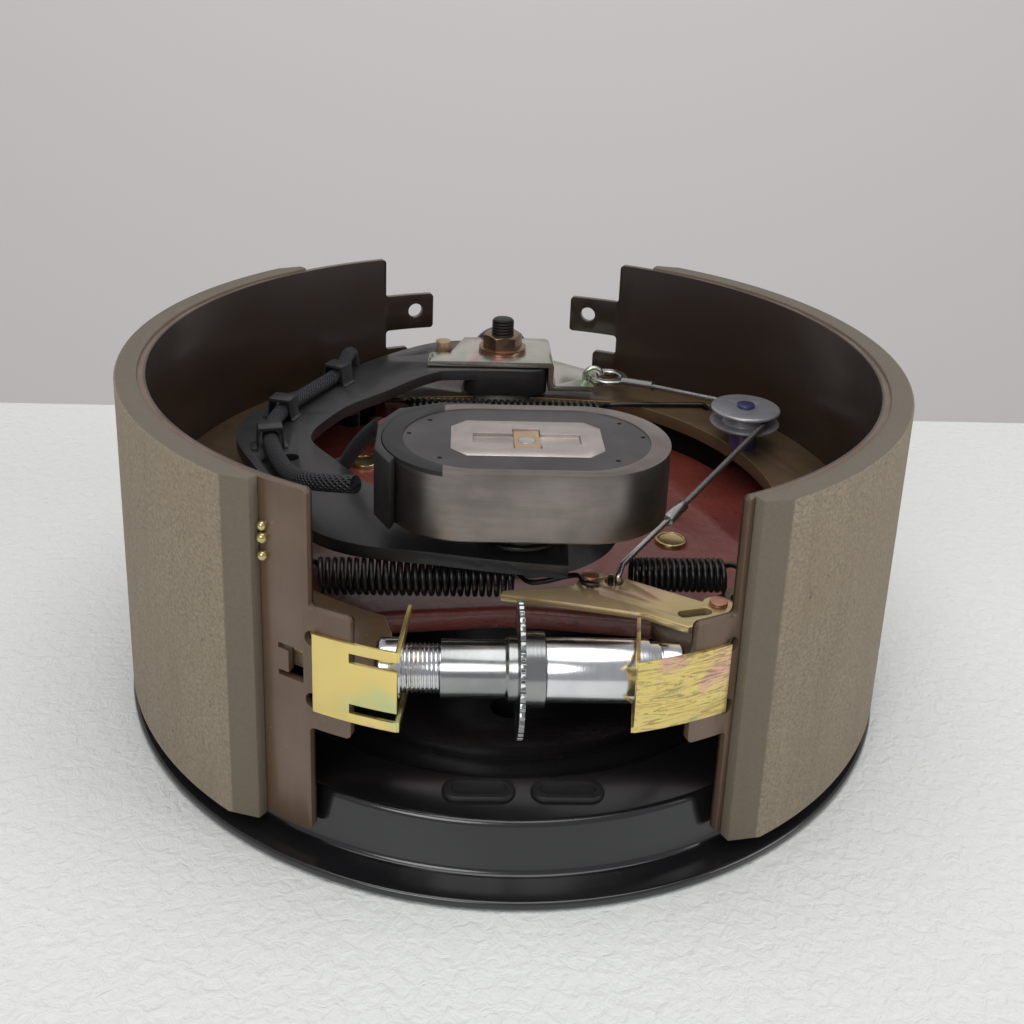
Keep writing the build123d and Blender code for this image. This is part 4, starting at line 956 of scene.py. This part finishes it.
PICTURE = 1024
SIGHT_PIXELS = 1247.90
MIDDLE_PIXEL = (496.30, 320.0)
CAMERA_PLACE = (-0.023631, -0.474328, 0.304983)
CAMERA_AZIMUTH = 0.0342
CAMERA_TILT = 0.32
CAMERA_ROLL = 0.0333
SENSOR = 36.0


def build_camera():
    """The camera, from the photograph's fitted place, aim, roll and lens."""
    ahead = Vector((math.sin(CAMERA_AZIMUTH) * math.cos(CAMERA_TILT),
                    math.cos(CAMERA_AZIMUTH) * math.cos(CAMERA_TILT), -math.sin(CAMERA_TILT)))
    right = Vector((math.cos(CAMERA_AZIMUTH), -math.sin(CAMERA_AZIMUTH), 0))
    upward = right.cross(ahead)
    across = math.cos(CAMERA_ROLL) * right + math.sin(CAMERA_ROLL) * upward
    rise = math.cos(CAMERA_ROLL) * upward - math.sin(CAMERA_ROLL) * right
    bpy.ops.object.camera_add(location=CAMERA_PLACE)
    camera = bpy.context.view_layer.objects.active
    turned = Matrix((across, rise, -ahead)).transposed()
    camera.rotation_euler = turned.to_euler()
    camera.data.sensor_width = SENSOR
    camera.data.lens = SIGHT_PIXELS / PICTURE * SENSOR
    camera.data.shift_x = (PICTURE / 2 - MIDDLE_PIXEL[0]) / PICTURE
    camera.data.shift_y = (MIDDLE_PIXEL[1] - PICTURE / 2) / PICTURE
    camera.data.clip_start = 0.01
    camera.data.clip_end = 30
    bpy.context.scene.camera = camera


# Operators


class BrakeOperator:
    """What every step of this finish shares."""

    bl_options = {"REGISTER", "UNDO"}

    def execute(self, context):
        self.work()
        return {"FINISHED"}


class BRAKE_OT_stage(BrakeOperator, bpy.types.Operator):
    """Add the floor, backdrop, lamps and camera"""

    bl_idname = "brake.stage"
    bl_label = "Stage and camera"

    def work(self):
        build_camera()
        build_stage()


class BRAKE_OT_shoes(BrakeOperator, bpy.types.Operator):
    """Finish the linings, tables and webs"""

    bl_idname = "brake.shoes"
    bl_label = "Shoes"

    def work(self):
        build_shoes()
        build_beads()


class BRAKE_OT_backing(BrakeOperator, bpy.types.Operator):
    """Finish the shield, the casting and the anchor"""

    bl_idname = "brake.backing"
    bl_label = "Backing"

    def work(self):
        build_backing()


class BRAKE_OT_arm(BrakeOperator, bpy.types.Operator):
    """Finish the magnet arm and what it carries"""

    bl_idname = "brake.arm"
    bl_label = "Magnet arm"

    def work(self):
        build_arm()


class BRAKE_OT_magnet(BrakeOperator, bpy.types.Operator):
    """Finish the magnet"""

    bl_idname = "brake.magnet"
    bl_label = "Magnet"

    def work(self):
        build_magnet()


class BRAKE_OT_adjuster(BrakeOperator, bpy.types.Operator):
    """Finish the adjuster, its clips and its lever"""

    bl_idname = "brake.adjuster"
    bl_label = "Adjuster"

    def work(self):
        build_adjuster()


class BRAKE_OT_cable(BrakeOperator, bpy.types.Operator):
    """Finish the cable and its guide"""

    bl_idname = "brake.cable"
    bl_label = "Adjuster cable"

    def work(self):
        build_cable()


class BRAKE_OT_springs(BrakeOperator, bpy.types.Operator):
    """Wind the coil springs"""

    bl_idname = "brake.springs"
    bl_label = "Springs"

    def work(self):
        build_springs()


class BRAKE_OT_harness(BrakeOperator, bpy.types.Operator):
    """Lay the braided harness"""

    bl_idname = "brake.harness"
    bl_label = "Harness"

    def work(self):
        build_harness()


STEPS = (BRAKE_OT_stage, BRAKE_OT_shoes, BRAKE_OT_backing, BRAKE_OT_arm, BRAKE_OT_magnet,
         BRAKE_OT_adjuster, BRAKE_OT_cable, BRAKE_OT_springs, BRAKE_OT_harness)


class BRAKE_PT_panel(bpy.types.Panel):
    """Lists the steps of the finish"""

    bl_label = PANEL
    bl_idname = "BRAKE_PT_panel"
    bl_space_type = "VIEW_3D"
    bl_region_type = "UI"
    bl_category = PANEL

    def draw(self, context):
        for step in STEPS:
            self.layout.operator(step.bl_idname, text=step.bl_label)


CLASSES = (BrakeSizes, BrakeColours, *STEPS, BRAKE_PT_panel)


def register():
    for entry in CLASSES:
        bpy.utils.register_class(entry)
    bpy.types.Scene.brake_sizes = PointerProperty(type=BrakeSizes)
    bpy.types.Scene.brake_colours = PointerProperty(type=BrakeColours)


def unregister():
    del bpy.types.Scene.brake_colours
    del bpy.types.Scene.brake_sizes
    for entry in reversed(CLASSES):
        bpy.utils.unregister_class(entry)


def main():
    register()
    for step in STEPS:
        group, name = step.bl_idname.split(".")
        getattr(getattr(bpy.ops, group), name)()
    bpy.context.view_layer.update()


if __name__ == "__main__":
    main()
